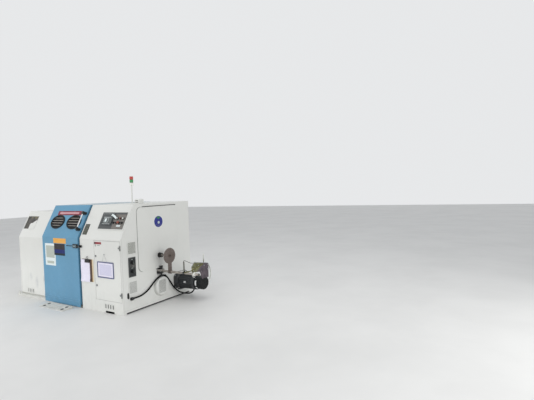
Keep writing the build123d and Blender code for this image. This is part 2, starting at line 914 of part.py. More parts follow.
# Signal lamp on the cabinet roof, in three tiers
lamp_inset_x = 720
lamp_inset_y = 860
lamp_x = end_x - lamp_inset_x
lamp_y = front_y + lamp_inset_y
pole_radius = 11
pole_height = 300
pole_foot_radius = 35
pole_foot_height = 8
lamp_radius = 30
lamp_groove = 3
tier_count = 3
tier_height = 48
tier_gap = 4
cap_height = 8
with BuildPart() as signal_pole:
    with BuildSketch(Plane.XY.offset(machine_height)):
        with Locations((lamp_x, lamp_y)):
            Circle(pole_foot_radius)
    extrude(amount=pole_foot_height)
    with BuildSketch(Plane.XY.offset(machine_height + pole_foot_height)):
        with Locations((lamp_x, lamp_y)):
            Circle(pole_radius)
    extrude(amount=pole_height - pole_foot_height)
save(signal_pole.part, "signal_pole")

lamp_low = machine_height + pole_height
lamp_height = tier_count * (tier_height + tier_gap)
with BuildPart() as signal_lamp:
    with BuildSketch(Plane.XY.offset(lamp_low)):
        with Locations((lamp_x, lamp_y)):
            Circle(lamp_radius - lamp_groove)
    extrude(amount=lamp_height)
    for tier in range(tier_count):
        with BuildSketch(Plane.XY.offset(lamp_low + tier * (tier_height + tier_gap))):
            with Locations((lamp_x, lamp_y)):
                Circle(lamp_radius)
        extrude(amount=tier_height)
    with BuildSketch(Plane.XY.offset(lamp_low + lamp_height)):
        with Locations((lamp_x, lamp_y)):
            Circle(lamp_radius)
    extrude(amount=cap_height)
    fillet(signal_lamp.edges().group_by(Axis.Z)[-1], cap_height - 1)
save(signal_lamp.part, "signal_lamp")

# Cowled cable entry on the roof, near the end face
entry_inset_x = 212
entry_inset_y = 560
entry_x = end_x - entry_inset_x
entry_y = front_y + entry_inset_y
entry_length = 120
entry_depth = 100
entry_height = 75
entry_corner = 20
entry_edge = 18
entry_slot_width = 70
entry_slot_height = 9
entry_slot_pitch = 24
entry_slot_z = 36
with BuildPart() as roof_cowl:
    with BuildSketch(Plane.XY.offset(machine_height)):
        with Locations((entry_x, entry_y)):
            RectangleRounded(entry_length, entry_depth, entry_corner)
    extrude(amount=entry_height)
    fillet(roof_cowl.edges().group_by(Axis.Z)[-1], entry_edge)
    with BuildSketch(front_plane(entry_y - entry_depth / 2)):
        with Locations((entry_x, machine_height + entry_slot_z)):
            with GridLocations(entry_slot_width, entry_slot_pitch, 1, 2):
                Rectangle(entry_slot_width, entry_slot_height)
    extrude(amount=-entry_depth / 4, mode=Mode.SUBTRACT)
save(roof_cowl.part, "roof_cowl")

# Loading ramp in front of the bay, with tongues under the cover's edge
ramp_offset = 230
ramp_left = cover_left_x + ramp_offset
ramp_width = 624
ramp_front_y = front_y - 255
ramp_back_y = front_y - 75
ramp_height = 30
ramp_sheet = 5
tongue_height = 4
tongue_width = 60
tongue_shares = (0.2, 0.8)
with BuildPart() as loading_ramp:
    with BuildSketch(Plane.YZ.offset(ramp_left)):
        with BuildLine():
            Polyline(
                (ramp_front_y, 0),
                (ramp_front_y, ramp_sheet),
                (ramp_back_y, ramp_height),
                (ramp_back_y, 0),
                close=True,
            )
        make_face()
    extrude(amount=ramp_width)
    with BuildSketch(Plane.XY):
        for share in tongue_shares:
            with Locations((ramp_left + share * ramp_width, (ramp_back_y + rail_edge_y) / 2)):
                Rectangle(tongue_width, rail_edge_y - ramp_back_y)
    extrude(amount=tongue_height)
save(loading_ramp.part, "loading_ramp")

# Sliding cover, welded from a bent front, a roof and a back sheet with turned-in edges
cover_outer = knee_and_ridge(cover_front_y, cover_bend, cover_top, 0)
cover_inner = knee_and_ridge(cover_front_y, cover_bend, cover_top, cover_sheet)
cover_flanged = knee_and_ridge(cover_front_y, cover_bend, cover_top, cover_sheet + cover_flange)
flange_clearance = 12
flange_foot = base_height + flange_clearance
hem_low = 90
hem_high = 124
hem_proud = 2
port_margin = 273
port_pitch = 435
port_centres = (cover_left_x + port_margin, cover_left_x + port_margin + port_pitch)
port_s = 264
port_half_width = 180
port_half_height = 122
port_border = 26
cover_slope = slope_plane(cover_front_y, cover_bend)


# A strip between two lines, made into a sheet by extrusion along the machine
def sheet_between(start_x, length, outer, inner):
    with BuildSketch(Plane.YZ.offset(start_x), mode=Mode.PRIVATE) as strip:
        with BuildLine():
            Polyline(*outer, *reversed(inner), close=True)
        make_face()
    extrude(strip.sketch, amount=length)


with BuildPart() as cover_front:
    foot = (cover_front_y, cover_floor_gap)
    inner_foot = (cover_inner[0][0], cover_floor_gap)
    sheet_between(cover_left_x, cover_length, (foot, *cover_outer), (inner_foot, *cover_inner))
    flange_start = (cover_inner[0][0], flange_foot)
    flange_end = (cover_flanged[0][0], flange_foot)
    for flange_x in (cover_left_x, cover_right_x - cover_sheet):
        sheet_between(flange_x, cover_sheet, (flange_start, *cover_inner), (flange_end, *cover_flanged))
    with BuildSketch(front_plane(cover_front_y)):
        with Locations((cover_left_x + cover_length / 2, (hem_low + hem_high) / 2)):
            Rectangle(cover_length, hem_high - hem_low)
    extrude(amount=hem_proud)
    with BuildSketch(cover_slope):
        with Locations(*[(x, port_s) for x in port_centres]):
            Ellipse(port_half_width - port_border, port_half_height - port_border)
    extrude(amount=-2 * cover_sheet, mode=Mode.SUBTRACT)
save(cover_front.part, "cover_front")


# Back corner of the cover's section, moved inwards by an inset
def back_corner(inset):
    return (cover_back_y - inset, cover_top - inset)


with BuildPart() as cover_roof:
    sheet_between(
        cover_left_x,
        cover_length,
        (cover_outer[1], back_corner(0)),
        (cover_inner[1], back_corner(cover_sheet)),
    )
    for flange_x in (cover_left_x, cover_right_x - cover_sheet):
        sheet_between(
            flange_x,
            cover_sheet,
            (cover_inner[1], back_corner(cover_sheet)),
            (cover_flanged[1], back_corner(cover_sheet + cover_flange)),
        )
save(cover_roof.part, "cover_roof")

with BuildPart() as cover_back:
    sheet_between(
        cover_left_x,
        cover_length,
        ((cover_back_y, cover_floor_gap), back_corner(0)),
        ((cover_back_y - cover_sheet, cover_floor_gap), back_corner(cover_sheet)),
    )
    for flange_x in (cover_left_x, cover_right_x - cover_sheet):
        inset = cover_sheet + cover_flange
        sheet_between(
            flange_x,
            cover_sheet,
            ((cover_back_y - cover_sheet, flange_foot), back_corner(cover_sheet)),
            ((cover_back_y - inset, flange_foot), back_corner(inset)),
        )
save(cover_back.part, "cover_back")

# Portholes: a ring with its slats, and the pane behind them
ring_proud = 12
ring_edge = 4
slat_count = 4
slat_pitch = 44
slat_height = 20
slat_depth = 7
pane_lap = 6
with BuildPart() as porthole_rings:
    with BuildSketch(cover_slope):
        with Locations(*[(x, port_s) for x in port_centres]):
            Ellipse(port_half_width, port_half_height)
    extrude(amount=ring_proud)
    chamfer(porthole_rings.faces().filter_by(cover_slope).sort_by(Axis.Z)[-2:].edges(), ring_edge)
    with BuildSketch(cover_slope):
        with Locations(*[(x, port_s) for x in port_centres]):
            Ellipse(port_half_width - port_border, port_half_height - port_border)
    extrude(amount=ring_proud, mode=Mode.SUBTRACT)
    for x in port_centres:
        with BuildSketch(cover_slope):
            with Locations((x, port_s)):
                with GridLocations(slat_pitch, slat_pitch, 1, slat_count):
                    Rectangle(2 * port_half_width, slat_height)
                Ellipse(port_half_width - ring_edge, port_half_height - ring_edge, mode=Mode.INTERSECT)
        extrude(amount=slat_depth)
save(porthole_rings.part, "porthole_rings")

with BuildPart() as porthole_panes:
    with BuildSketch(slope_plane(cover_front_y, cover_bend, -cover_sheet)):
        with Locations(*[(x, port_s) for x in port_centres]):
            Ellipse(port_half_width - pane_lap, port_half_height - pane_lap)
    extrude(amount=-pane_thickness)
save(porthole_panes.part, "porthole_panes")

# Grab handle at the cover's right edge: two blocks on long feet, with a bar between them
handle_inset = 30
handle_x = cover_right_x - handle_inset
handle_low = 137
handle_high = 411
handle_standoff = 55
handle_radius = 9
handle_block = 38
handle_edge = 5
handle_foot_length = 95
handle_foot_thickness = 10
handle_foot_x = handle_x - (handle_foot_length - handle_block) / 2
with BuildPart() as cover_handle:
    with BuildSketch(cover_slope):
        with Locations((handle_x, handle_low), (handle_x, handle_high)):
            Rectangle(handle_block, handle_block)
    extrude(amount=handle_standoff + 2 * handle_radius)
    chamfer(cover_handle.faces().group_by(Axis((0, 0, 0), slope_out))[-1].edges(), handle_edge)
    with BuildSketch(cover_slope):
        with Locations((handle_foot_x, handle_low), (handle_foot_x, handle_high)):
            RectangleRounded(handle_foot_length, handle_block, handle_edge)
    extrude(amount=handle_foot_thickness)
save(cover_handle.part, "cover_handle")

with BuildPart() as handle_bar:
    handle_start = cover_slope.from_local_coords((handle_x, handle_low + handle_block / 2, handle_standoff))
    with BuildSketch(Plane(origin=handle_start, x_dir=(1, 0, 0), z_dir=cover_slope.y_dir)):
        Circle(handle_radius)
    extrude(amount=handle_high - handle_low - handle_block)
save(handle_bar.part, "handle_bar")

# Lock across the seam: body, lever and tongue on the cover, keeper on the cabinet
lock_z = 970
lock_width = 120
lock_height = 64
lock_depth = 18
lock_edge = 9
lock_gap = 2
lever_radius = 5
lever_length = 140
ball_radius = 8
tongue_reach = 40
tongue_section = 14
lock_body_x = cover_right_x - lock_width / 2 - lock_gap
lock_y = cover_front_y - lock_depth / 2
lock_left_x = lock_body_x - lock_width / 2
with BuildPart() as cover_lock:
    with BuildSketch(front_plane(cover_front_y)):
        with Locations((lock_body_x, lock_z)):
            RectangleRounded(lock_width, lock_height, lock_edge)
    extrude(amount=lock_depth)
    chamfer(cover_lock.faces().sort_by(Axis.Y)[0].edges(), lock_edge)
    with BuildSketch(Plane.YZ.offset(lock_body_x)):
        with Locations((lock_y, lock_z)):
            Rectangle(tongue_section, tongue_section)
    extrude(amount=lock_width / 2 + lock_gap + cover_seam_gap + tongue_reach)
    with BuildSketch(Plane.YZ.offset(lock_body_x)):
        with Locations((lock_y, lock_z)):
            Circle(lever_radius)
    extrude(amount=-(lock_width / 2 + lever_length))
    with BuildSketch(Plane.YZ.offset(lock_left_x - lever_length)):
        with Locations((lock_y, lock_z)):
            Circle(ball_radius)
    extrude(amount=-2 * ball_radius)
    fillet(cover_lock.edges().group_by(Axis.X)[0], ball_radius / 2)
save(cover_lock.part, "cover_lock")

keeper_inset = 30
keeper_x = cabinet_x + keeper_inset
keeper_width = 28
keeper_height = 36
keeper_clearance = 5
keeper_wall = 5
keeper_hole = tongue_section + 2 * keeper_clearance
keeper_top = front_y - lock_y + keeper_hole / 2 + keeper_wall
with BuildPart() as lock_keeper:
    with BuildSketch(front_plane(front_y)):
        with Locations((keeper_x, lock_z)):
            Rectangle(keeper_width, keeper_height)
    extrude(amount=keeper_top)
    with BuildSketch(Plane.YZ.offset(keeper_x - keeper_width / 2)):
        with Locations((lock_y, lock_z)):
            Rectangle(keeper_hole, keeper_hole)
    extrude(amount=keeper_width, mode=Mode.SUBTRACT)
save(lock_keeper.part, "lock_keeper")

# Cover rollers on the rails
roller_radius = 20
roller_width = 16
roller_gap = 0.3
roller_inset_x = 90
roller_y = rail_edge_y + rail_width / 2
roller_z = base_height + roller_radius + roller_gap
axle_radius = 6
with BuildPart() as cover_rollers:
    for x in (cover_left_x + roller_inset_x, cover_right_x - roller_inset_x):
        for side in (1, -1):
            with BuildSketch(Plane.XZ.offset(-side * roller_y - roller_width / 2)):
                with Locations((x, roller_z)):
                    Circle(roller_radius)
            extrude(amount=roller_width)
            with BuildSketch(Plane.XZ.offset(-side * (cover_front_y + cover_sheet))):
                with Locations((x, roller_z)):
                    Circle(axle_radius)
            extrude(amount=-side * (roller_y - cover_front_y - cover_sheet))
save(cover_rollers.part, "cover_rollers")

# Rotor in the bay: two flanged shafts, and the two curved bows between their discs
bay_middle = (bay_x + cabinet_x) / 2
disc_radius = 360
disc_thickness = 30
disc_half_gap = 400
disc_hub_radius = 130
disc_hub_length = 30
disc_hub_taper = 30
disc_hole_count = 6
disc_hole_radius = 42
disc_hole_orbit = 225
bow_reach = 600
bow_width = 60
bow_thickness = 8
bow_inset = 20
shaft_bearing = 120
stub_radius = 45
stub_fit = 0.05
boss_radius = 75
boss_length = 60
boss_bore_depth = 40
cradle_half = 257.5
cradle_plate = 30
boss_face = cradle_half + cradle_plate + boss_length
bow_rim = disc_radius - bow_inset


def rotor_end(side, wall):
    with BuildSketch(Plane.YZ.offset(bay_middle + side * disc_half_gap), mode=Mode.PRIVATE) as disc:
        with Locations((0, axis_height)):
            Circle(disc_radius)
            with PolarLocations(disc_hole_orbit, disc_hole_count):
                Circle(disc_hole_radius, mode=Mode.SUBTRACT)
    extrude(disc.sketch, amount=side * disc_thickness)
    with BuildSketch(Plane.YZ.offset(bay_middle + side * disc_half_gap), mode=Mode.PRIVATE) as hub:
        with Locations((0, axis_height)):
            Circle(disc_hub_radius)
    extrude(hub.sketch, amount=-side * disc_hub_length, taper=disc_hub_taper)
    with BuildSketch(Plane.YZ.offset(bay_middle + side * disc_half_gap), mode=Mode.PRIVATE) as shaft:
        with Locations((0, axis_height)):
            Circle(shaft_radius)
    extrude(shaft.sketch, amount=side * (abs(wall - bay_middle) - disc_half_gap + shaft_bearing))
    with BuildSketch(Plane.YZ.offset(bay_middle + side * disc_half_gap), mode=Mode.PRIVATE) as stub:
        with Locations((0, axis_height)):
            Circle(stub_radius)
    extrude(stub.sketch, amount=-side * (disc_half_gap - boss_face + boss_bore_depth))


with BuildPart() as rotor_ends:
    rotor_end(-1, bay_x)
    rotor_end(1, cabinet_x)
save(rotor_ends.part, "rotor_ends")


def bow_strip(side):
    near = axis_height + side * bow_rim
    far = axis_height + side * bow_reach
    step = side * bow_thickness
    with BuildSketch(Plane.XZ.offset(-bow_width / 2), mode=Mode.PRIVATE) as strip:
        with BuildLine():
            outer = ThreePointArc(
                (bay_middle - disc_half_gap, near), (bay_middle, far), (bay_middle + disc_half_gap, near)
            )
            inner = ThreePointArc(
                (bay_middle - disc_half_gap, near - step),
                (bay_middle, far - step),
                (bay_middle + disc_half_gap, near - step),
            )
            Line(outer @ 0, inner @ 0)
            Line(outer @ 1, inner @ 1)
        make_face()
    extrude(strip.sketch, amount=bow_width)


with BuildPart() as rotor_bows:
    bow_strip(1)
    bow_strip(-1)
save(rotor_bows.part, "rotor_bows")

# Cradle: two end plates with their bearing bosses, joined by bars beside the bobbin
bobbin_radius = 315
bobbin_width = 475
bobbin_barrel = 160
bobbin_bore = 28
flange_thickness = 24
flange_edge = 5
hub_radius = 110
shoulder_rise = 120
shoulder_drop = 20
bar_radius = 22
bar_orbit = 370
bar_inset = 40
bar_rise = 95
plate_corner = 30
pintle_clearance = 0.3
pintle_grip = 60
bar_y = bar_orbit - bar_inset
with BuildPart() as cradle:
    for side in (-1, 1):
        with BuildSketch(Plane.YZ.offset(bay_middle + side * cradle_half)):
            with BuildLine():
                Polyline(
                    (-bar_orbit, axis_height + shoulder_rise),
                    (bar_orbit, axis_height + shoulder_rise),
                    (bar_orbit, axis_height - shoulder_drop),
                    (hub_radius, axis_height - hub_radius),
                    (-hub_radius, axis_height - hub_radius),
                    (-bar_orbit, axis_height - shoulder_drop),
                    close=True,
                )
            plate_outline = make_face()
            fillet(plate_outline.vertices(), plate_corner)
        extrude(amount=side * cradle_plate)
        with BuildSketch(Plane.YZ.offset(bay_middle + side * (cradle_half + cradle_plate))):
            with Locations((0, axis_height)):
                Circle(boss_radius)
        extrude(amount=side * boss_length)
        with BuildSketch(Plane.YZ.offset(bay_middle + side * boss_face)):
            with Locations((0, axis_height)):
                Circle(stub_radius + stub_fit)
        extrude(amount=-side * boss_bore_depth, mode=Mode.SUBTRACT)
        with BuildSketch(Plane.YZ.offset(bay_middle + side * cradle_half)):
            with Locations((0, axis_height)):
                Circle(bobbin_bore - pintle_clearance)
        extrude(amount=-side * (cradle_half - bobbin_width / 2 + pintle_grip))
    with BuildSketch(Plane.YZ.offset(bay_middle - cradle_half)):
        with Locations((-bar_y, axis_height + bar_rise), (bar_y, axis_height + bar_rise)):
            Circle(bar_radius)
    extrude(amount=2 * cradle_half)
save(cradle.part, "cradle")

with BuildPart() as bobbin:
    for side in (-1, 1):
        with BuildSketch(Plane.YZ.offset(bay_middle + side * bobbin_width / 2)):
            with Locations((0, axis_height)):
                Circle(bobbin_radius)
        extrude(amount=-side * flange_thickness)
    with BuildSketch(Plane.YZ.offset(bay_middle - bobbin_width / 2 + flange_thickness)):
        with Locations((0, axis_height)):
            Circle(bobbin_barrel)
    extrude(amount=bobbin_width - 2 * flange_thickness)
    flange_rims = bobbin.edges().filter_by(GeomType.CIRCLE).filter_by(
        lambda edge: edge.radius > bobbin_radius - flange_edge
    )
    chamfer(flange_rims, flange_edge)
    with BuildSketch(Plane.YZ.offset(bay_middle - bobbin_width / 2)):
        with Locations((0, axis_height)):
            Circle(bobbin_bore)
    extrude(amount=bobbin_width, mode=Mode.SUBTRACT)
save(bobbin.part, "bobbin")

# Traverse in front of the bobbin: its screw between the cradle plates, and the carriage with a wheel
screw_radius = 9
screw_y = -(bobbin_radius + 30)
screw_z = axis_height + 20
bar_clearance = 0.5
carriage_x = bay_middle - 60
carriage_width = 70
carriage_back = -(bobbin_radius + 7)
carriage_front = carriage_back - 90
carriage_low = screw_z - 30
carriage_high = axis_height + bar_rise + 35
carriage_corner = 12
wheel_radius = 34
wheel_width = 14
wheel_taper = 40
wheel_gap = 4
axle_inset = 20
wheel_y = carriage_front + axle_inset
wheel_z = (carriage_low + carriage_high) / 2
with BuildPart() as traverse:
    with BuildSketch(Plane.YZ.offset(carriage_x - carriage_width / 2)) as block:
        with Locations(((carriage_front + carriage_back) / 2, (carriage_low + carriage_high) / 2)):
            RectangleRounded(carriage_back - carriage_front, carriage_high - carriage_low, carriage_corner)
        with Locations((-bar_y, axis_height + bar_rise)):
            Circle(bar_radius + bar_clearance, mode=Mode.SUBTRACT)
    extrude(amount=carriage_width)
    with BuildSketch(Plane.YZ.offset(bay_middle - cradle_half)):
        with Locations((screw_y, screw_z)):
            Circle(screw_radius)
    extrude(amount=2 * cradle_half)
    wheel_x = carriage_x + carriage_width / 2 + wheel_gap
    with BuildSketch(Plane.YZ.offset(wheel_x - wheel_gap)):
        with Locations((wheel_y, wheel_z)):
            Circle(screw_radius)
    extrude(amount=wheel_gap + wheel_width)
    for start_x, way in ((wheel_x, 1), (wheel_x + wheel_width, -1)):
        with BuildSketch(Plane.YZ.offset(start_x)):
            with Locations((wheel_y, wheel_z)):
                Circle(wheel_radius)
        extrude(amount=way * wheel_width / 2, taper=wheel_taper)
save(traverse.part, "traverse")
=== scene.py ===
import math
import random

import bmesh
import bpy
from mathutils import Matrix, Vector


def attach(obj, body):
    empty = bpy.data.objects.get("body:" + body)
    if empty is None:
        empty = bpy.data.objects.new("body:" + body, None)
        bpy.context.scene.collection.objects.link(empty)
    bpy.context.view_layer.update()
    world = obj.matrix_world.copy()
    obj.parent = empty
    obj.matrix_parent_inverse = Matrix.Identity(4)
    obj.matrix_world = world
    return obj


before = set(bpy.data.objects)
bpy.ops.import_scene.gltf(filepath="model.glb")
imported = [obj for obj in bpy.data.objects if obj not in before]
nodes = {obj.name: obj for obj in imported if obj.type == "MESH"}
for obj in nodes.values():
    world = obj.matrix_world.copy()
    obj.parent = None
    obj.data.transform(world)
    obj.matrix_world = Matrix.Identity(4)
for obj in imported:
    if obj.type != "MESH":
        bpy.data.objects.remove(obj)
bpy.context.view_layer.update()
random.seed(11)
print("frame loaded")

# Main planes of the machine, in metres, as the solids have them
leftX, bayX, cabinetX, endX = -1.395, -0.505, 0.454, 1.395
frontY, leftFrontY, leftBackY, backY = -0.7305, -0.6805, 0.6805, 0.7305
baseZ, axisZ, railZ = 0.034, 0.766, 0.513
leftBendZ, bendZ, leftTopZ, topZ = 1.055, 1.095, 1.5, 1.6
slopeAngle = math.radians(62.8)
cover = {"leftX": -0.535, "rightX": 0.425, "frontY": -0.7485, "backY": 0.7485, "bendZ": 1.098, "topZ": 1.602}
xWay, yWay, zWay = (1, 0, 0), (0, 1, 0), (0, 0, 1)
world = Matrix.Identity(4)


def hexColour(code, share=1.0):  # sRGB hex to the linear values that shaders take, made darker or lighter
    parts = [int(code[i:i + 2], 16) / 255 for i in (0, 2, 4)]
    return [min(1, share * (p / 12.92 if p <= 0.04045 else ((p + 0.055) / 1.055) ** 2.4)) for p in parts]


# Shader graphs


class Socket:  # a node's output that does arithmetic
    def __init__(self, graph, port):
        self.graph, self.port = graph, port

    def calc(self, operation, *others):
        return self.graph.calc(operation, self, *others)

    def __add__(self, other):
        return self.calc("ADD", other)

    def __sub__(self, other):
        return self.calc("SUBTRACT", other)

    def __mul__(self, other):
        return self.calc("MULTIPLY", other)

    def __gt__(self, other):
        return self.calc("GREATER_THAN", other)

    def __lt__(self, other):
        return self.calc("LESS_THAN", other)

    def __rsub__(self, other):
        return self.graph.calc("SUBTRACT", other, self)

    __radd__ = __add__
    __rmul__ = __mul__

    def clamp(self, low, high):  # 0 at low, 1 at high, smooth between
        return self.graph.add("ShaderNodeMapRange", {"interpolation_type": "SMOOTHSTEP"},
                              {"Value": self, "From Min": low, "From Max": high})


class Graph:  # the nodes of a material or of the world
    def __init__(self, owner):
        owner.use_nodes = True
        self.owner, self.tree = owner, owner.node_tree
        self.tree.nodes.clear()

    def add(self, kind, settings=None, sockets=None, out=0):  # colours may be hex codes
        node = self.tree.nodes.new(kind)
        for key, value in (settings or {}).items():
            setattr(node, key, value)
        for key, value in (sockets or {}).items():
            port = node.inputs[key]
            if isinstance(value, Socket):
                self.tree.links.new(value.port, port)
                continue
            value = hexColour(value) if isinstance(value, str) else value
            port.default_value = (*value, 1) if port.type == "RGBA" else value
        return Socket(self, node.outputs[out]) if len(node.outputs) else node

    def calc(self, operation, *values):
        return self.add("ShaderNodeMath", {"operation": operation}, dict(enumerate(values)))

    def vector(self, operation, first, second=None, out=0):
        values = {0: first} if second is None else {0: first, 1: second}
        return self.add("ShaderNodeVectorMath", {"operation": operation}, values, out)

    def position(self):
        return self.add("ShaderNodeTexCoord", out="Object")

    def axis(self, name):
        return self.add("ShaderNodeSeparateXYZ", None, {0: self.position()}, name)

    def noise(self, scale, detail=3.0, rough=0.5, stretch=(1, 1, 1), shift=(0, 0, 0)):
        place = self.add("ShaderNodeMapping", None, {"Vector": self.position(), "Scale": stretch, "Location": shift})
        return self.add("ShaderNodeTexNoise", None,
                        {"Vector": place, "Scale": scale, "Detail": detail, "Roughness": rough})

    def cells(self, scale):
        place = self.add("ShaderNodeMapping", None, {"Vector": self.position()})
        return self.add("ShaderNodeTexVoronoi", {"feature": "F1"}, {"Vector": place, "Scale": scale})

    def blend(self, share, first, second):
        return self.add("ShaderNodeMix", {"data_type": "RGBA"}, {0: share, 6: first, 7: second}, 2)

    def mottled(self, scale, first, second, detail=4):
        return self.blend(self.noise(scale, detail).clamp(0.3, 0.7), first, second)

    def bump(self, height, strength, distance, normal=None):
        sockets = {"Height": height, "Strength": strength, "Distance": distance}
        return self.add("ShaderNodeBump", None, {**sockets, "Normal": normal} if normal else sockets)

    def rounded(self, radius):  # soft edges on the solids
        return self.add("ShaderNodeBevel", {"samples": 4}, {"Radius": radius})

    def edgeMask(self, radius):
        flat = self.add("ShaderNodeNewGeometry", out="Normal")
        return (1 - self.vector("DOT_PRODUCT", self.rounded(radius), flat, 1)).clamp(0.02, 0.3)

    def finish(self, tone, rough, normal, others=None):
        sockets = {"Base Color": tone, "Roughness": rough, "Normal": normal, **(others or {})}
        shader = self.add("ShaderNodeBsdfPrincipled", None, sockets)
        self.add("ShaderNodeOutputMaterial", None, {"Surface": shader})
        return self.owner


def material(name):
    return Graph(bpy.data.materials.new(name))


# Places on the machine's faces: local x runs right, y up and z outwards


def place(origin, right, up):
    right, up = Vector(right).normalized(), Vector(up).normalized()
    matrix = Matrix((right, up, right.cross(up))).transposed().to_4x4()
    matrix.translation = origin
    return matrix


def moved(where, x, y=0.0, z=0.0):
    return where @ Matrix.Translation((x, y, z))


def lifted(where, out):
    return moved(where, 0, 0, out)


def spun(where, angle):
    return where @ Matrix.Rotation(angle, 4, "Z")


def onFront(x, z, out=0.0, face=frontY):
    return place((x, face - out, z), xWay, zWay)


def onCover(x, z, out=0.0):
    return onFront(x, z, out, cover["frontY"])


def onBack(x, z, out=0.0, face=backY):
    return place((x, face + out, z), (-1, 0, 0), zWay)


def onEnd(y, z, out=0.0):
    return place((endX + out, y, z), yWay, zWay)


def onLeftEnd(y, z, out=0.0):
    return place((leftX - out, y, z), (0, -1, 0), zWay)


def onTop(x, y, z):
    return place((x, y, z), xWay, yWay)


def onSlope(x, up, out=0.0, front=frontY, bend=bendZ):
    along = Vector((0, math.cos(slopeAngle), math.sin(slopeAngle)))
    normal = Vector((0, -math.sin(slopeAngle), math.cos(slopeAngle)))
    return place(Vector((x, front, bend)) + along * up + normal * out, xWay, along)


def onCoverSlope(x, up, out=0.0):
    return onSlope(x, up, out, cover["frontY"], cover["bendZ"])


# Points and outlines


def spread(start, end, count):
    return [start + (end - start) * i / (count - 1) for i in range(count)]


def corners(x, y):
    return [(-x, -y), (-x, y), (x, -y), (x, y)]


def oval(radius, count=24, turn=0.0, high=None):
    angles = [turn + 2 * math.pi * i / count for i in range(count)]
    return [(radius * math.cos(a), (high or radius) * math.sin(a)) for a in angles]


def arc(radius, first, last, count=9, out=0.0):  # between two angles in degrees
    angles = [math.radians(a) for a in spread(first, last, count)]
    return [(out + radius * math.cos(a), radius * math.sin(a)) for a in angles]


def closed(outline):
    return [*outline, outline[0]]


def roundedOutline(width, height, radius, steps=5):
    radius = max(min(radius, width / 2 - 1e-5, height / 2 - 1e-5), 1e-5)
    points = []
    for quarter, (sideX, sideY) in enumerate(((1, 1), (-1, 1), (-1, -1), (1, -1))):
        for step in range(steps + 1):
            angle = math.pi / 2 * (quarter + step / steps)
            points.append((sideX * (width / 2 - radius) + radius * math.cos(angle),
                           sideY * (height / 2 - radius) + radius * math.sin(angle)))
    return points


def smoothLine(points, steps=8):  # a smooth line through points
    points = [Vector(p) for p in points]
    padded = [points[0] * 2 - points[1], *points, points[-1] * 2 - points[-2]]
    line = []
    for a, b, c, d in zip(padded, padded[1:], padded[2:], padded[3:]):
        for step in range(steps):
            t = step / steps
            line.append(0.5 * (2 * b + (c - a) * t + (2 * a - 5 * b + 4 * c - d) * t * t
                               + (3 * b - a - 3 * c + d) * t ** 3))
    return [*line, points[-1]]


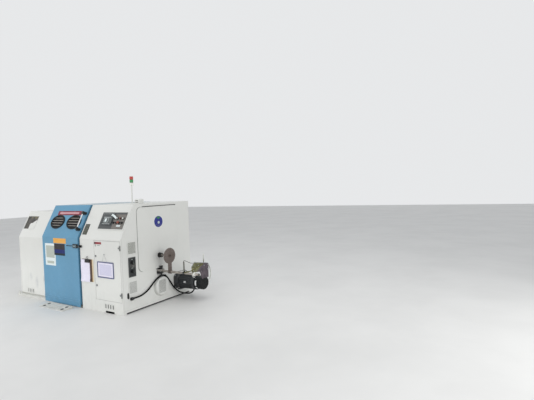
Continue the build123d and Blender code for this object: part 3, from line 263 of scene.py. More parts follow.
class Shape:  # closed bodies gathered into one piece
    def __init__(self):
        self.mesh = bmesh.new()

    def skin(self, where, rings, loop=False):
        rows = [[self.mesh.verts.new(where @ Vector(point).to_3d()) for point in ring] for ring in rings]
        count = len(rows[0])
        for low, high in zip(rows, rows[1:] + rows[:1] if loop else rows[1:]):
            for i in range(count):
                j = (i + 1) % count
                self.mesh.faces.new((low[i], low[j], high[j], high[i]))
        if not loop:
            self.mesh.faces.new(rows[0][::-1])
            self.mesh.faces.new(rows[-1])
        return self

    def layers(self, where, outlines, loop=False):  # outlines at heights, as (outline, z)
        return self.skin(where, [[(x, y, z) for x, y in outline] for outline, z in outlines], loop)

    def pad(self, where, width, height, depth=0.0012, radius=0.002, edge=0.0003, shift=(0, 0), low=0.0):
        edge = min(edge, depth / 2)
        outline = roundedOutline(width, height, radius)
        top = roundedOutline(width - 2 * edge, height - 2 * edge, max(radius - edge, 0.0002))
        return self.layers(moved(where, *shift), [(outline, low), (outline, depth - edge), (top, depth)])

    def rim(self, where, width, height, bar, depth, radius, low=0.0, edge=0.0006):  # a picture frame
        steps = [(0, low), (0, depth - edge), (edge, depth), (bar - edge, depth), (bar, depth - edge), (bar, low)]
        return self.layers(where, [
            (roundedOutline(width - 2 * inset, height - 2 * inset, max(radius - inset, 0.0005), 6), z)
            for inset, z in steps], True)

    def turned(self, where, profile, count=28, loop=False, spots=((0, 0),)):  # profile of (radius, z)
        for spot in spots:
            self.layers(moved(where, *spot), [(oval(radius, count), z) for radius, z in profile], loop)
        return self

    def hexBolts(self, where, size, spots=((0, 0),)):
        for spot in spots:
            at = moved(where, *spot)
            self.turned(at, [(size * 1.5, 0), (size * 1.5, size * 0.25), (size * 1.4, size * 0.33)], 18)
            turn = random.uniform(0, 1)
            outline = oval(size, 6, turn)
            self.layers(at, [(outline, 0), (outline, size * 0.8), (oval(size * 0.8, 6, turn), size)])
        return self

    def capScrews(self, where, size, spots=((0, 0),)):  # round heads, each with a hexagon socket
        for spot in spots:
            turn = random.uniform(0, 1)
            outline, socket = oval(size, 18, turn), oval(size * 0.5, 6, turn)
            inner = [[a + (b - a) * third / 3 for a, b in zip(*side)]
                     for side in zip(socket, socket[1:] + socket[:1]) for third in range(3)]
            self.layers(moved(where, *spot), [
                (outline, 0), (outline, size * 0.75), ([(x * 0.85, y * 0.85) for x, y in outline], size * 0.9),
                (inner, size * 0.9), (inner, size * 0.4)])
        return self

    def tube(self, where, points, radius, count=10, flat=None):  # a round or flat bar along points
        points = [where @ Vector(p).to_3d() for p in points]
        wide, thick = radius if isinstance(radius, tuple) else (radius, radius)
        section = oval(1, count) if flat is None else [(1, 1), (-1, 1), (-1, -1), (1, -1)]
        rings, side = [], None
        for before, point, after in zip(points[:1] + points, points, points[1:] + points[-1:]):
            ahead = (after - before).normalized()
            side = side or (ahead.orthogonal() if flat is None else Vector(flat)).normalized()
            side = (side - ahead * side.dot(ahead)).normalized()
            up = ahead.cross(side)
            rings.append([point + side * x * wide + up * y * thick for x, y in section])
        return self.skin(world, rings)

    def build(self, name, finish, angle=35):
        bmesh.ops.recalc_face_normals(self.mesh, faces=self.mesh.faces)
        data = bpy.data.meshes.new(name)
        self.mesh.to_mesh(data)
        self.mesh.free()
        data.materials.append(finish)
        data.shade_smooth()
        data.set_sharp_from_angle(angle=math.radians(angle))
        piece = bpy.data.objects.new(name, data)
        bpy.context.scene.collection.objects.link(piece)
        return piece

    def make(self, name, finish, slotName, body="machine", angle=35):
        piece = self.build(name, finishes[finish], angle)
        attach(piece, body)


def pads(body, rows):  # one plain field for each row of name, finish, slot, place and sizes
    for name, finish, slotName, *sizes in rows:
        Shape().pad(*sizes).make(name, finish, slotName, body)


# Camera, lights and floor

stage = {
    "cameraAt": (5.9823, -4.4001, 1.7573), "yaw": -0.526, "pitch": 0.0282, "roll": -0.0346, "lens": 25.814,
    "sensor": 36, "clipEnd": 200, "floor": "e0dfdc", "backdrop": (0.8, 0.81, 0.82), "light": (0.93, 0.96, 1.0),
    "ambient": 0.66, "mirrored": 0.75,
    "lamps": [("roofLamp", (0.5, -0.5, 6.5), (0, 0, 0), (9, 7), 150),
              ("frontLamp", (-2.5, -7.5, 2.0), (0, 0, 0.7), (6, 3.5), 190),
              ("endLamp", (8.0, -0.5, 2.2), (0.5, 0, 0.7), (5, 3), 108)],
}


def makeCamera(s):
    yaw, pitch, roll = s["yaw"], s["pitch"], s["roll"]
    ahead = Vector((math.sin(yaw) * math.cos(pitch), math.cos(yaw) * math.cos(pitch), -math.sin(pitch)))
    level = Vector((math.cos(yaw), -math.sin(yaw), 0))
    above = level.cross(ahead)
    camera = bpy.data.objects.new("photoCamera", bpy.data.cameras.new("photoCamera"))
    bpy.context.scene.collection.objects.link(camera)
    camera.data.lens, camera.data.sensor_width, camera.data.clip_end = s["lens"], s["sensor"], s["clipEnd"]
    camera.matrix_world = place(s["cameraAt"], level * math.cos(roll) + above * math.sin(roll),
                                above * math.cos(roll) - level * math.sin(roll))
    bpy.context.scene.camera = camera


def makeLights(s):
    bpy.context.scene.view_settings.view_transform = "Standard"
    for name, at, towards, size, power in s["lamps"]:
        lamp = bpy.data.objects.new(name, bpy.data.lights.new(name, "AREA"))
        lamp.data.shape = "RECTANGLE"
        lamp.data.size, lamp.data.size_y = size
        lamp.data.energy = power
        lamp.location = at
        lamp.rotation_mode = "QUATERNION"
        lamp.rotation_quaternion = (Vector(towards) - Vector(at)).to_track_quat("-Z", "Y")
        bpy.context.scene.collection.objects.link(lamp)
    bpy.context.scene.world = bpy.data.worlds.new("hallLight")
    g = Graph(bpy.context.scene.world)
    seen, mirrored, passed = (g.add("ShaderNodeLightPath", out="Is %s Ray" % ray)
                              for ray in ("Camera", "Glossy", "Transmission"))
    shown = (seen + mirrored * s["mirrored"] + passed).calc("MINIMUM", 1.0)
    strength = s["ambient"] + (1 - s["ambient"]) * shown
    background = g.add("ShaderNodeBackground", None, {"Color": g.blend(shown, s["light"], s["backdrop"]),
                                                      "Strength": strength})
    g.add("ShaderNodeOutputWorld", None, {"Surface": background})


def makeFloor(s):
    g = material("plainFloor")
    tone = g.blend(g.noise(0.7, 4, 0.6).clamp(0.3, 0.75), s["floor"], hexColour(s["floor"], 0.93))
    paint = g.finish(tone, 0.45 + 0.2 * g.noise(3, 4), g.bump(g.noise(60, 3), 0.08, 0.001))
    Shape().pad(onTop(0, 0, -0.05), 60, 60, 0.05, 0.5, 0.01).build("floor", paint)


makeCamera(stage)
makeLights(stage)
makeFloor(stage)
print("camera, lights and floor made")

# Finishes: colours are sRGB hex codes

paintDefaults = {
    "fade": 0.9, "streaks": 0.25, "heightShade": 0, "heightShadeColour": "a5a5a0", "upFacing": 0, "dirtHeight": 0.3,
    "dirtShare": 0.35, "smudges": 0.18, "scuffsAndShadows": (), "scuffAndShadowColour": "959ba2", "wear": 0.6, "edge": 0.003,
    "ior": 1.5, "coat": 0.15,
}
metalDefaults = {"grain": 90, "stretch": (1, 1, 1), "stain": 0.3, "metal": 0.9, "relief": 0.2, "worn": 0.72}
mouldDefaults = {"dust": 0.2, "dustColour": "8f8a80", "relief": 0.25, "ior": 1.48, "coat": 0.0, "lift": 1.35}
printDefaults = {"rough": 0.35, "fade": 0.9, "lower": (), "age": 0.25, "ior": 1.5, "relief": 0.15}


def paintedSheet(name, spec):  # sprayed sheet metal with shop dirt, streaks and worn edges
    g, s = material(name), {**paintDefaults, **spec}
    z = g.axis("Z")
    tone = g.blend(g.noise(1.7, 4, 0.6).clamp(0.3, 0.75), s["colour"], hexColour(s["colour"], s["fade"]))
    streak = g.noise(9, 3, 0.6, (1, 1, 0.05)).clamp(0.55, 0.8) * g.noise(4, 2).clamp(0.4, 0.7)
    tone = g.blend(streak * s["streaks"], tone, s["dirt"])
    # painted shade: colour drawn toward a darker tone higher up, so upper faces look darker
    tone = g.blend(z.clamp(0.35, 1.05) * s["heightShade"], tone, s["heightShadeColour"])
    if s["upFacing"]:  # faces that look up drawn toward the grey bcbfba
        up = g.add("ShaderNodeSeparateXYZ", None, {0: g.add("ShaderNodeNewGeometry", out="Normal")}, "Z")
        upFacing = up.clamp(0.8, 0.97) * g.noise(5, 4, 0.6).clamp(0.2, 0.55)
        tone = g.blend(upFacing * s["upFacing"], tone, "bcbfba")
    low = (1 - z.clamp(0.0, s["dirtHeight"])) * g.noise(14, 5, 0.65).clamp(0.35, 0.7)
    tone = g.blend(low * s["dirtShare"], tone, s["dirt"])
    smudge = g.noise(3.2, 5, 0.7, shift=(3, 1, 7)).clamp(0.58, 0.75) * g.noise(40, 3, 0.6).clamp(0.35, 0.65)
    tone = g.blend(smudge * s["smudges"], tone, s["dirt"])
    # spots drawn toward a set colour: smears on the white paint, painted shade at the base plate's right end
    for middle, size, share in s["scuffsAndShadows"]:
        near = g.vector("DIVIDE", g.vector("SUBTRACT", g.position(), middle), size)
        patch = g.noise(7, 4, 0.55, (1, 1, 0.6)).clamp(0.3, 0.55)
        spot = (1 - g.vector("LENGTH", near, out=1).clamp(0.1, 1.0)) * patch
        tone = g.blend(spot * share, tone, s["scuffAndShadowColour"])
    edge = g.edgeMask(0.004) * g.noise(26, 5, 0.7).clamp(0.5, 0.62)
    tone = g.blend(edge * s["wear"], tone, s["under"])
    scratch = g.noise(5, 6, 0.8, (1, 1, 14)).clamp(0.62, 0.68)
    rough = s["rough"] + 0.12 * g.noise(22, 4).clamp(0.3, 0.7) + 0.2 * low + 0.08 * scratch
    peel = g.noise(420, 2, 0.5) * 0.6 + g.noise(60, 2) * 0.4
    surface = g.bump(peel, 0.12, 0.0006, g.bump(g.noise(2.2, 1), 0.25, 0.004, g.rounded(s["edge"])))
    return g.finish(tone, rough, surface, {"IOR": s["ior"], "Coat Weight": s["coat"], "Coat Roughness": 0.3})


def bareMetal(name, spec):  # turned, ground or galvanised metal
    g, s = material(name), {**metalDefaults, **spec}
    grain = g.noise(s["grain"], 4, 0.6, s["stretch"])
    stain = g.noise(7, 5, 0.65).clamp(0.45, 0.75)
    tone = g.blend(grain.clamp(0.3, 0.7), s["colour"], hexColour(s["colour"], s["worn"]))
    tone = g.blend(stain * s["stain"], tone, "54483c")
    surface = g.bump(grain * 0.6 + g.noise(300, 2) * 0.4, s["relief"], 0.0008, g.rounded(0.0015))
    return g.finish(tone, s["rough"] + 0.16 * grain + 0.18 * stain, surface, {"Metallic": s["metal"]})


def moulded(name, spec):  # plastic, rubber and cast finishes with a fine grain
    g, s = material(name), {**mouldDefaults, **spec}
    tone = g.blend(g.noise(12, 4).clamp(0.35, 0.7), s["colour"], hexColour(s["colour"], s["lift"]))
    tone = g.blend(g.noise(30, 5, 0.7).clamp(0.5, 0.75) * s["dust"], tone, s["dustColour"])
    surface = g.bump(g.cells(900), s["relief"], 0.0004, g.rounded(0.001))
    return g.finish(tone, s["rough"] + 0.15 * g.noise(18, 3), surface,
                    {"IOR": s["ior"], "Coat Weight": s["coat"], "Coat Roughness": 0.15})


def plainPrint(name, spec):  # a bare label or paper, aged and a little uneven
    g, s = material(name), {**printDefaults, **spec}
    tone = g.blend(g.noise(60, 4, 0.6).clamp(0.35, 0.7), s["colour"], hexColour(s["colour"], s["fade"]))
    for height, colour in s["lower"]:
        tone = g.blend(g.axis("Z") < height, tone, colour)
    if "bands" in s:
        start, pitch, share, colour = s["bands"]
        band = ((g.axis("Z") - start) * (1 / pitch)).calc("FRACT") < share
        tone = g.blend(band * 0.5, tone, colour)
    tone = g.blend(g.noise(7, 5, 0.7).clamp(0.5, 0.8) * s["age"], tone, "d8d2c6")
    crease = g.bump(g.noise(14, 3, 0.6), s["relief"], 0.001)
    return g.finish(tone, s["rough"] + 0.15 * g.noise(30, 3), crease, {"IOR": s["ior"]})


def meshScreen(name, spec):  # expanded metal seen behind slots, its holes darker as painted shade of the inside
    g = material(name)
    across, z = g.axis("X") + g.axis("Y"), g.axis("Z")
    one, two = ((way * spec["pitch"]).calc("SINE").calc("ABSOLUTE") for way in (across + z, across - z))
    weave = one.calc("MINIMUM", two)
    tone = g.blend(weave.clamp(0.1, 0.45), spec["wire"], spec["hole"])
    tone = g.blend(g.noise(20, 4, 0.7).clamp(0.5, 0.8) * 0.4, tone, "6d675e")
    return g.finish(tone, 0.55 + 0.2 * g.noise(30, 3), g.bump(1 - weave, 0.5, 0.001), {"Metallic": 0.2})


def lampTiers(name):  # three coloured tiers and a pale cap
    g = material(name)
    z = g.axis("Z")
    pitch, start = 0.052, 1.9
    ring = (z * (1 / pitch) - start / pitch).calc("FRACT")
    tone = g.blend(z > 1.951, "e8e6df", "2f8f4e")
    tone = g.blend(z > 2.003, tone, "b8322c")
    tone = g.blend(z > 2.0555, tone, "d9d7d0")
    tone = g.blend((ring > 0.91) * (z < 2.05), tone, "2a2b2c")
    ribs = (g.axis("X") * 700).calc("SINE") * (g.axis("Y") * 700).calc("SINE")
    return g.finish(tone, 0.22 + 0.1 * g.noise(40, 3), g.bump(ribs, 0.15, 0.0008), {"Coat Weight": 0.4})


def railBracket(name):  # pale upper clamp half, olive post and rod, the rest black
    g = material(name)
    x, z = g.axis("X"), g.axis("Z")
    dark, pale = g.mottled(60, "2c2c2b", "414140"), g.mottled(40, "b9b6b0", "96928c")
    top = (z > 0.514) * (z < 0.5425) * (x < endX + 0.061) * (x > endX + 0.0095)
    high = (z > 0.5405) * (x > endX + 0.3) * (x < endX + 0.535)
    tone = g.blend(high, g.blend(top, dark, pale), g.mottled(30, "8a8b7c", "6a6b60"))
    stain = g.noise(9, 5, 0.65).clamp(0.5, 0.75)
    return g.finish(g.blend(stain * 0.25, tone, "4a3f35"), 0.36 + 0.2 * stain,
                    g.bump(g.noise(180, 3), 0.2, 0.0006, g.rounded(0.0015)), {"Metallic": 0.35})


def guardSheet(name):  # olive guard, darker towards its lower right as painted shade, with a pale mast and strip
    g = material(name)
    y, z = g.axis("Y"), g.axis("Z")
    # painted shade: the lower right part drawn toward a dark purple grey
    fold = (y * 0.9 - (z - 0.6) * 1.1 + 0.04 * g.noise(9, 3)).clamp(0.13, 0.2)
    tone = g.blend(fold, g.mottled(14, "7c7b58", "5d5c43"), g.mottled(18, "63585f", "4a4148"))
    streak = g.noise(5, 4, 0.6, (1, 1.2, 7)).clamp(0.52, 0.64)
    tone = g.blend(streak * 0.5 * (1 - fold), tone, "b9b68f")
    pale = ((z > 0.6915) + (y > 0.357)).calc("MINIMUM", 1.0)
    tone = g.blend(pale, tone, g.mottled(25, "cfd2cb", "a9ab9f", 3))
    tone = g.blend((z < 0.5405) * (y < 0.031), tone, "aaa49b")
    return g.finish(tone, 0.4 + 0.15 * g.noise(22, 3), g.bump(g.noise(40, 3), 0.25, 0.0015, g.rounded(0.0012)),
                    {"Metallic": 0.3})


def windowPane(name):  # dark brownish pane with an olive haze
    g = material(name)
    depth = g.blend(g.noise(9, 4).clamp(0.35, 0.65), "4f4b45", "35332f")
    haze = g.noise(5, 3, 0.5, shift=(2, 0, 1)).clamp(0.5, 0.66)
    return g.finish(g.blend(haze * 0.7, depth, "857c58"), 0.12 + 0.1 * g.noise(14, 3),
                    g.bump(g.noise(30, 2), 0.03, 0.001), {"IOR": 1.35, "Coat Weight": 0.15, "Coat Roughness": 0.1})


def pressedBoard(name):  # brown board, worn pale along its right edge, with a dark clip
    g = material(name)
    fleck = g.noise(160, 4, 0.7).clamp(0.35, 0.65)
    across = g.axis("X") + 0.006 * g.noise(30, 3)
    pale = g.blend(across.clamp(0.7465, 0.7505), g.blend(fleck, "c0a071", "a07c4c"), "dccfb4")
    board = g.blend(across.clamp(0.73, 0.74), g.blend(fleck, "382415", "503622"), pale)
    tone = g.blend(g.axis("Y") < frontY - 0.0068, board, g.blend(fleck, "1d1f20", "2b2d2e"))
    return g.finish(tone, 0.5 + 0.2 * g.noise(20, 3), g.bump(g.noise(220, 3), 0.25, 0.0004, g.rounded(0.001)))


finishes = {
    "lamp": lampTiers("lampTiers"), "bracket": railBracket("railBracket"), "guard": guardSheet("guardSheet"),
    "leftGlass": windowPane("windowPane"), "board": pressedBoard("pressedBoard"),
}
finishRows = {
    paintedSheet: [
        ("white", "whitePaint", {
            "colour": "e4e4df", "dirt": "8c857a", "under": "8d8b86", "rough": 0.38, "fade": 0.95, "heightShade": 0.21,
            "upFacing": 0.3, "dirtShare": 0.07, "smudges": 0.07, "streaks": 0.14, "wear": 0.45,
            "scuffsAndShadows": [((-1.07, -0.69, 0.36), (0.07, 0.2, 0.09), 0.45),
                       ((-0.885, -0.69, 0.27), (0.07, 0.2, 0.14), 0.5),
                       ((-0.655, -0.69, 0.335), (0.06, 0.2, 0.11), 0.4)]}),
        ("blue", "blueCoverPaint", {
            "colour": "5e98ba", "dirt": "5c7482", "under": "3f5868", "rough": 0.42, "dirtShare": 0.25,
            "streaks": 0.2, "heightShade": 0.3, "heightShadeColour": "4d7f96", "upFacing": 0.75}),
        ("base", "basePaint", {
            "colour": "dcdcd6", "dirt": "7d766c", "under": "6e6a64", "rough": 0.5, "dirtShare": 0.22,
            # painted shade: near-black spot at the base plate's right end, beside the cover's edge
            "dirtHeight": 0.05, "scuffAndShadowColour": "1d1c1b",
            "scuffsAndShadows": [((0.452, -0.7, 0.035), (0.09, 0.12, 0.3), 1.0)]}),
        ("panel", "charcoalPanel", {
            "colour": "474a4a", "dirt": "77746d", "under": "8b8984", "rough": 0.42, "dirtShare": 0.1, "fade": 0.82}),
        ("panelGrey", "switchField", {
            "colour": "706b65", "dirt": "86847d", "under": "9b9994", "rough": 0.38, "dirtShare": 0.1}),
        ("motor", "motorPaint", {
            "colour": "3a3d40", "dirt": "6a645b", "under": "7d7b78", "rough": 0.4, "dirtShare": 0.3, "fade": 0.7,
            "smudges": 0.5, "wear": 0.8}),
        ("cowl", "cowlPaint", {
            "colour": "181b1d", "dirt": "4a4640", "under": "6d6b68", "rough": 0.5, "coat": 0.0, "ior": 1.35,
            "dirtShare": 0.3, "fade": 0.7, "smudges": 0.35, "wear": 0.5}),
        ("ramp", "rampPaint", {
            "colour": "dedbd2", "dirt": "77726a", "under": "6b6861", "rough": 0.5, "dirtShare": 0.3,
            "dirtHeight": 0.06, "wear": 0.7, "smudges": 0.25}),
        ("rotor", "rotorPaint", {"colour": "8e979c", "dirt": "45413c", "under": "b4b4b2", "rough": 0.36, "wear": 0.8}),
        ("cradle", "cradlePaint", {"colour": "7d868b", "dirt": "3d3a36", "under": "a9a9a6", "rough": 0.4, "wear": 0.8}),
        ("bobbin", "bobbinPaint", {
            "colour": "3c6a94", "dirt": "3b3631", "under": "9a9a98", "rough": 0.42, "wear": 1.0, "smudges": 0.5,
            "edge": 0.004}),
        # painted highlight: pale blue for the lit upper edges of the hem folds
        ("hemHighlightBlue", "hemHighlight", {"colour": "86b8d6", "dirt": "64808f", "under": "4c6a7c", "rough": 0.4})],
    bareMetal: [
        ("steel", "groundSteel", {"colour": "c9c9c6", "rough": 0.22, "grain": 60, "stain": 0.15}),
        ("zinc", "zincSteel", {"colour": "b9bcbd", "rough": 0.32, "grain": 25, "stain": 0.2}),
        ("blackened", "blackenedSteel", {"colour": "3f3f3e", "rough": 0.35, "metal": 0.7}),
        ("lay", "layPlateMetal", {
            "colour": "7e736d", "rough": 0.45, "metal": 0.45, "grain": 140, "stain": 0.5, "relief": 0.5}),
        ("copper", "copperWire", {"colour": "c98a62", "rough": 0.25, "stain": 0.15}),
        ("rail", "guideTube", {
            "colour": "bdb6ae", "rough": 0.34, "metal": 0.75, "grain": 80, "stretch": (0.2, 1, 1)}),
        ("hinge", "hingeSteel", {"colour": "8a8c8a", "rough": 0.42, "metal": 0.5}),
        ("brightBar", "brightBar", {"colour": "f2f3f3", "rough": 0.32, "metal": 0.45, "grain": 40, "stain": 0.08}),
        ("postOlive", "postOlive", {"colour": "73746a", "rough": 0.5, "metal": 0.3, "stain": 0.4}),
        ("darkOlive", "darkOliveStrip", {"colour": "3f4232", "rough": 0.5, "metal": 0.25}),
        ("olive", "oliveStrap", {"colour": "74713f", "rough": 0.5, "metal": 0.25, "stain": 0.4})],
    moulded: [
        ("blackPlastic", "blackPlastic", {"colour": "191a1b", "rough": 0.4, "ior": 1.4}),
        ("ringBlack", "portholeRing", {"colour": "121314", "rough": 0.45, "ior": 1.3, "dust": 0.1}),
        ("rubber", "cableRubber", {"colour": "070707", "rough": 0.62, "dust": 0.03, "ior": 1.25}),
        ("roller", "rollerPlastic", {"colour": "55565a", "rough": 0.45}),
        ("drive", "drivePlastic", {"colour": "6c6f72", "rough": 0.45, "dust": 0.1}),
        ("bow", "bowCarbon", {"colour": "202224", "rough": 0.3, "coat": 0.4}),
        ("pane", "portholePane", {
            "colour": "0a0b0c", "rough": 0.12, "ior": 1.25, "relief": 0.02, "dust": 0.08, "dustColour": "5a5751"}),
        ("screen", "screenGlass", {"colour": "23282a", "rough": 0.12, "coat": 0.5, "relief": 0.02}),
        ("frame", "frameBlue", {"colour": "4f5579", "rough": 0.35, "coat": 0.3, "dust": 0.1}),
        ("ventFrame", "ventFrame", {"colour": "34362f", "rough": 0.5, "ior": 1.35}),
        ("seamGrey", "seamGrey", {"colour": "a8a9a4", "rough": 0.55, "dust": 0.1}),
        ("gapGrey", "gapGrey", {"colour": "80837f", "rough": 0.6, "dust": 0.15}),
        ("brownEye", "brownEye", {"colour": "51453f", "rough": 0.35, "dust": 0.1}),
        ("seal", "doorSeal", {"colour": "191a1a", "rough": 0.6}),
        ("redKnob", "redKnob", {"colour": "7d3a2a", "rough": 0.3, "coat": 0.3, "dust": 0.1}),
        ("whiteCap", "whiteCap", {"colour": "dcdcd6", "rough": 0.3, "coat": 0.3, "dust": 0.1}),
        ("ceramic", "ceramicEye", {"colour": "a8a39a", "rough": 0.25, "coat": 0.3, "dust": 0.15}),
        ("duct", "greyDuct", {"colour": "9a9da0", "rough": 0.5, "dust": 0.15}),
        ("paleDuct", "paleRelay", {"colour": "c5c6c2", "rough": 0.45, "dust": 0.15}),
        ("whiteBand", "paleBand", {"colour": "e2e3e0", "rough": 0.4, "dust": 0.12}),
        ("slat", "slatPlastic", {"colour": "77726c", "rough": 0.5, "dust": 0.25}),
        ("lockGrey", "lockGrey", {"colour": "47606a", "rough": 0.4})],
    plainPrint: [
        ("redPrint", "redStrip", {"colour": "7b2031"}),
        ("doorRedPrint", "doorRedLabel", {"colour": "8e2530"}),
        ("fieldPrint", "paleField", {"colour": "b3bab0"}),
        ("markPrint", "greyMark", {"colour": "9da6a0"}),
        ("pinkPrint", "paleRedStrip", {"colour": "cb959d"}),
        ("orangePrint", "orangeLabel", {"colour": "e6a640"}),
        ("whitePrint", "whiteLabel", {"colour": "e2ebea"}),
        ("paleGreyPrint", "paleGreyLabel", {"colour": "b9c3c6"}),
        ("infoPlate", "infoPlate", {
            "colour": "332f31", "rough": 0.5, "ior": 1.3, "age": 0.05,
            "lower": [(0.895, "1f2b68"), (0.836, "222d33")]}),
        ("paper", "paperSheets", {
            "colour": "efebf8", "rough": 0.7, "relief": 0.4, "bands": (0.43, 0.011, 0.4, "dfdaee")}),
        ("formPaper", "formSheet", {
            "colour": "d9d6ea", "rough": 0.6, "relief": 0.3, "bands": (0.53, 0.016, 0.35, "c3c0dc")}),
        ("badgeBlue", "badgeBlue", {"colour": "10207f", "rough": 0.3}),
        ("badgeGreen", "badgeGreen", {"colour": "2f7448", "rough": 0.3}),
        ("display", "screenImage", {
            "colour": "4e5352", "rough": 0.15, "relief": 0.02, "bands": (1.28, 0.022, 0.3, "646a69")}),
        ("paleBar", "paleBar", {"colour": "b8bdbc", "rough": 0.3}),
        ("darkPlate", "switchPlate", {"colour": "2c2f31"})],
    # the hole colours are painted shade of the inside behind each screen
    meshScreen: [
        ("backing", "ventScreen", {"pitch": 420, "wire": "c2c3bf", "hole": "9c9d99"}),
        ("midBacking", "midScreen", {"pitch": 520, "wire": "8f918e", "hole": "5a5c5a"}),
        ("ventBacking", "slopeVentScreen", {"pitch": 520, "wire": "a2a598", "hole": "6a6c62"})],
}
for maker, rows in finishRows.items():
    for key, name, spec in rows:
        finishes[key] = maker(name, spec)
print("finishes made")

# Finishes of the machine's own solids
nodeFinishes = {
    "white": "left_housing cabinet_housing cabinet_door cover_panels low_louvres round_cover end_vents "
             "signal_pole roof_cowl",
    "blue": "cover_front cover_roof cover_back",
    "base": "base_plate rail_stops",
    "panel": "control_panel switch_panel",
    "blackPlastic": "cover_handle cover_lock lock_keeper panel_buttons inlet_nose cable_fittings door_locks",
    "ventFrame": "slope_vent", "screen": "panel_screen", "leftGlass": "left_window", "pane": "porthole_panes",
    "ringBlack": "porthole_rings", "zinc": "mounting_plate", "brightBar": "handle_bar",
    "hinge": "door_hinges door_knuckles", "rail": "guide_rail", "bracket": "rail_brackets", "lay": "lay_plate",
    "guard": "wire_tray", "motor": "motor_body terminal_box", "cowl": "fan_cowl", "rubber": "motor_cable",
    "roller": "cover_rollers", "board": "clipboard", "frame": "document_frame", "drive": "drive_units",
    "lamp": "signal_lamp", "ramp": "loading_ramp", "rotor": "rotor_ends", "bow": "rotor_bows",
    "cradle": "cradle traverse", "bobbin": "bobbin",
}
for finish, names in nodeFinishes.items():
    for name in names.split():
        nodes[name].data.materials.clear()
        nodes[name].data.materials.append(finishes[finish])
print("solids finished")

# Left bearing housing


def louvre(prefix, at, width, reach, lip, inset):  # a dark screen behind four slots as painted shade of the inside, and the slots' pressed lips
    Shape().pad(at, width, 0.064).make(prefix + "Back", "midBacking", "dark_panel")
    lips = Shape()
    for spot in spread(-reach, reach, 4):
        lips.pad(at, lip, 0.0595, 0.0034, 0.002, 0.001, (spot - inset, 0), 0.001)
    lips.make(prefix + "Lips", "white", "white_paint")


def makeLeftHousing():
    s = {"windowX": -1.205, "windowUp": 0.2775, "sheetFoot": -0.1215, "sheetThick": 0.0012, "seamOut": 0.0003}
    at = onSlope(s["windowX"], s["windowUp"], 0, leftFrontY, leftBendZ)
    Shape().rim(at, 0.338, 0.253, 0.006, 0.0015, 0.006, -0.004).make("windowGasket", "white", "window_glass")
    edge = [(-0.008, -0.04), (0.004, -0.016), (0.03, -0.01), (0.05, -0.012), (0.075, 0.002), (0.1, 0.02),
            (0.13, 0.034), (0.164, 0.046)]
    rows = []  # loose white sheet over the window's lower right, torn along its top
    for i, (x, top) in enumerate(edge):
        lift = 0.003 + 0.0015 * math.sin(i * 1.9)
        ups = spread(s["sheetFoot"], top, 6)
        rows.append([(x, up, 0.0018 + thick + lift * max(0, (up + 0.03) / 0.08) ** 2)
                     for thick, line in ((0, ups), (s["sheetThick"], ups[::-1])) for up in line])
    Shape().skin(at, rows).make("windowSheet", "white", "window_glass")
    seams, face = Shape(), onFront(0, 0, s["seamOut"], leftFrontY)
    for x in (-1.372, -0.56):
        seams.tube(face, [(x, 0.06), (x, 1.03)], (0.0009, 0.0004), flat=xWay)
    seams.tube(face, [(-1.392, 0.052), (-0.54, 0.052)], (0.0004, 0.0009), flat=yWay)
    seams.make("leftSeams", "seamGrey", "white_paint")
    louvre("leftLouvre", onFront(-1.09, 0.108, 0, leftFrontY), 0.186, 0.075, 0.011, 0.01)
    side = onLeftEnd(0.66, 0.72)  # small catch on the left edge
    catch = Shape().pad(side, 0.05, 0.07, 0.008, 0.006, 0.001).pad(side, 0.022, 0.04, 0.02, 0.005, 0.002, (0.006, 0))
    catch.hexBolts(lifted(side, 0.008), 0.004, [(-0.014, 0.022), (-0.014, -0.022)])
    catch.make("leftCatch", "zinc", "bar_metal")


# Cabinet: front, door, compartment, slope and end face


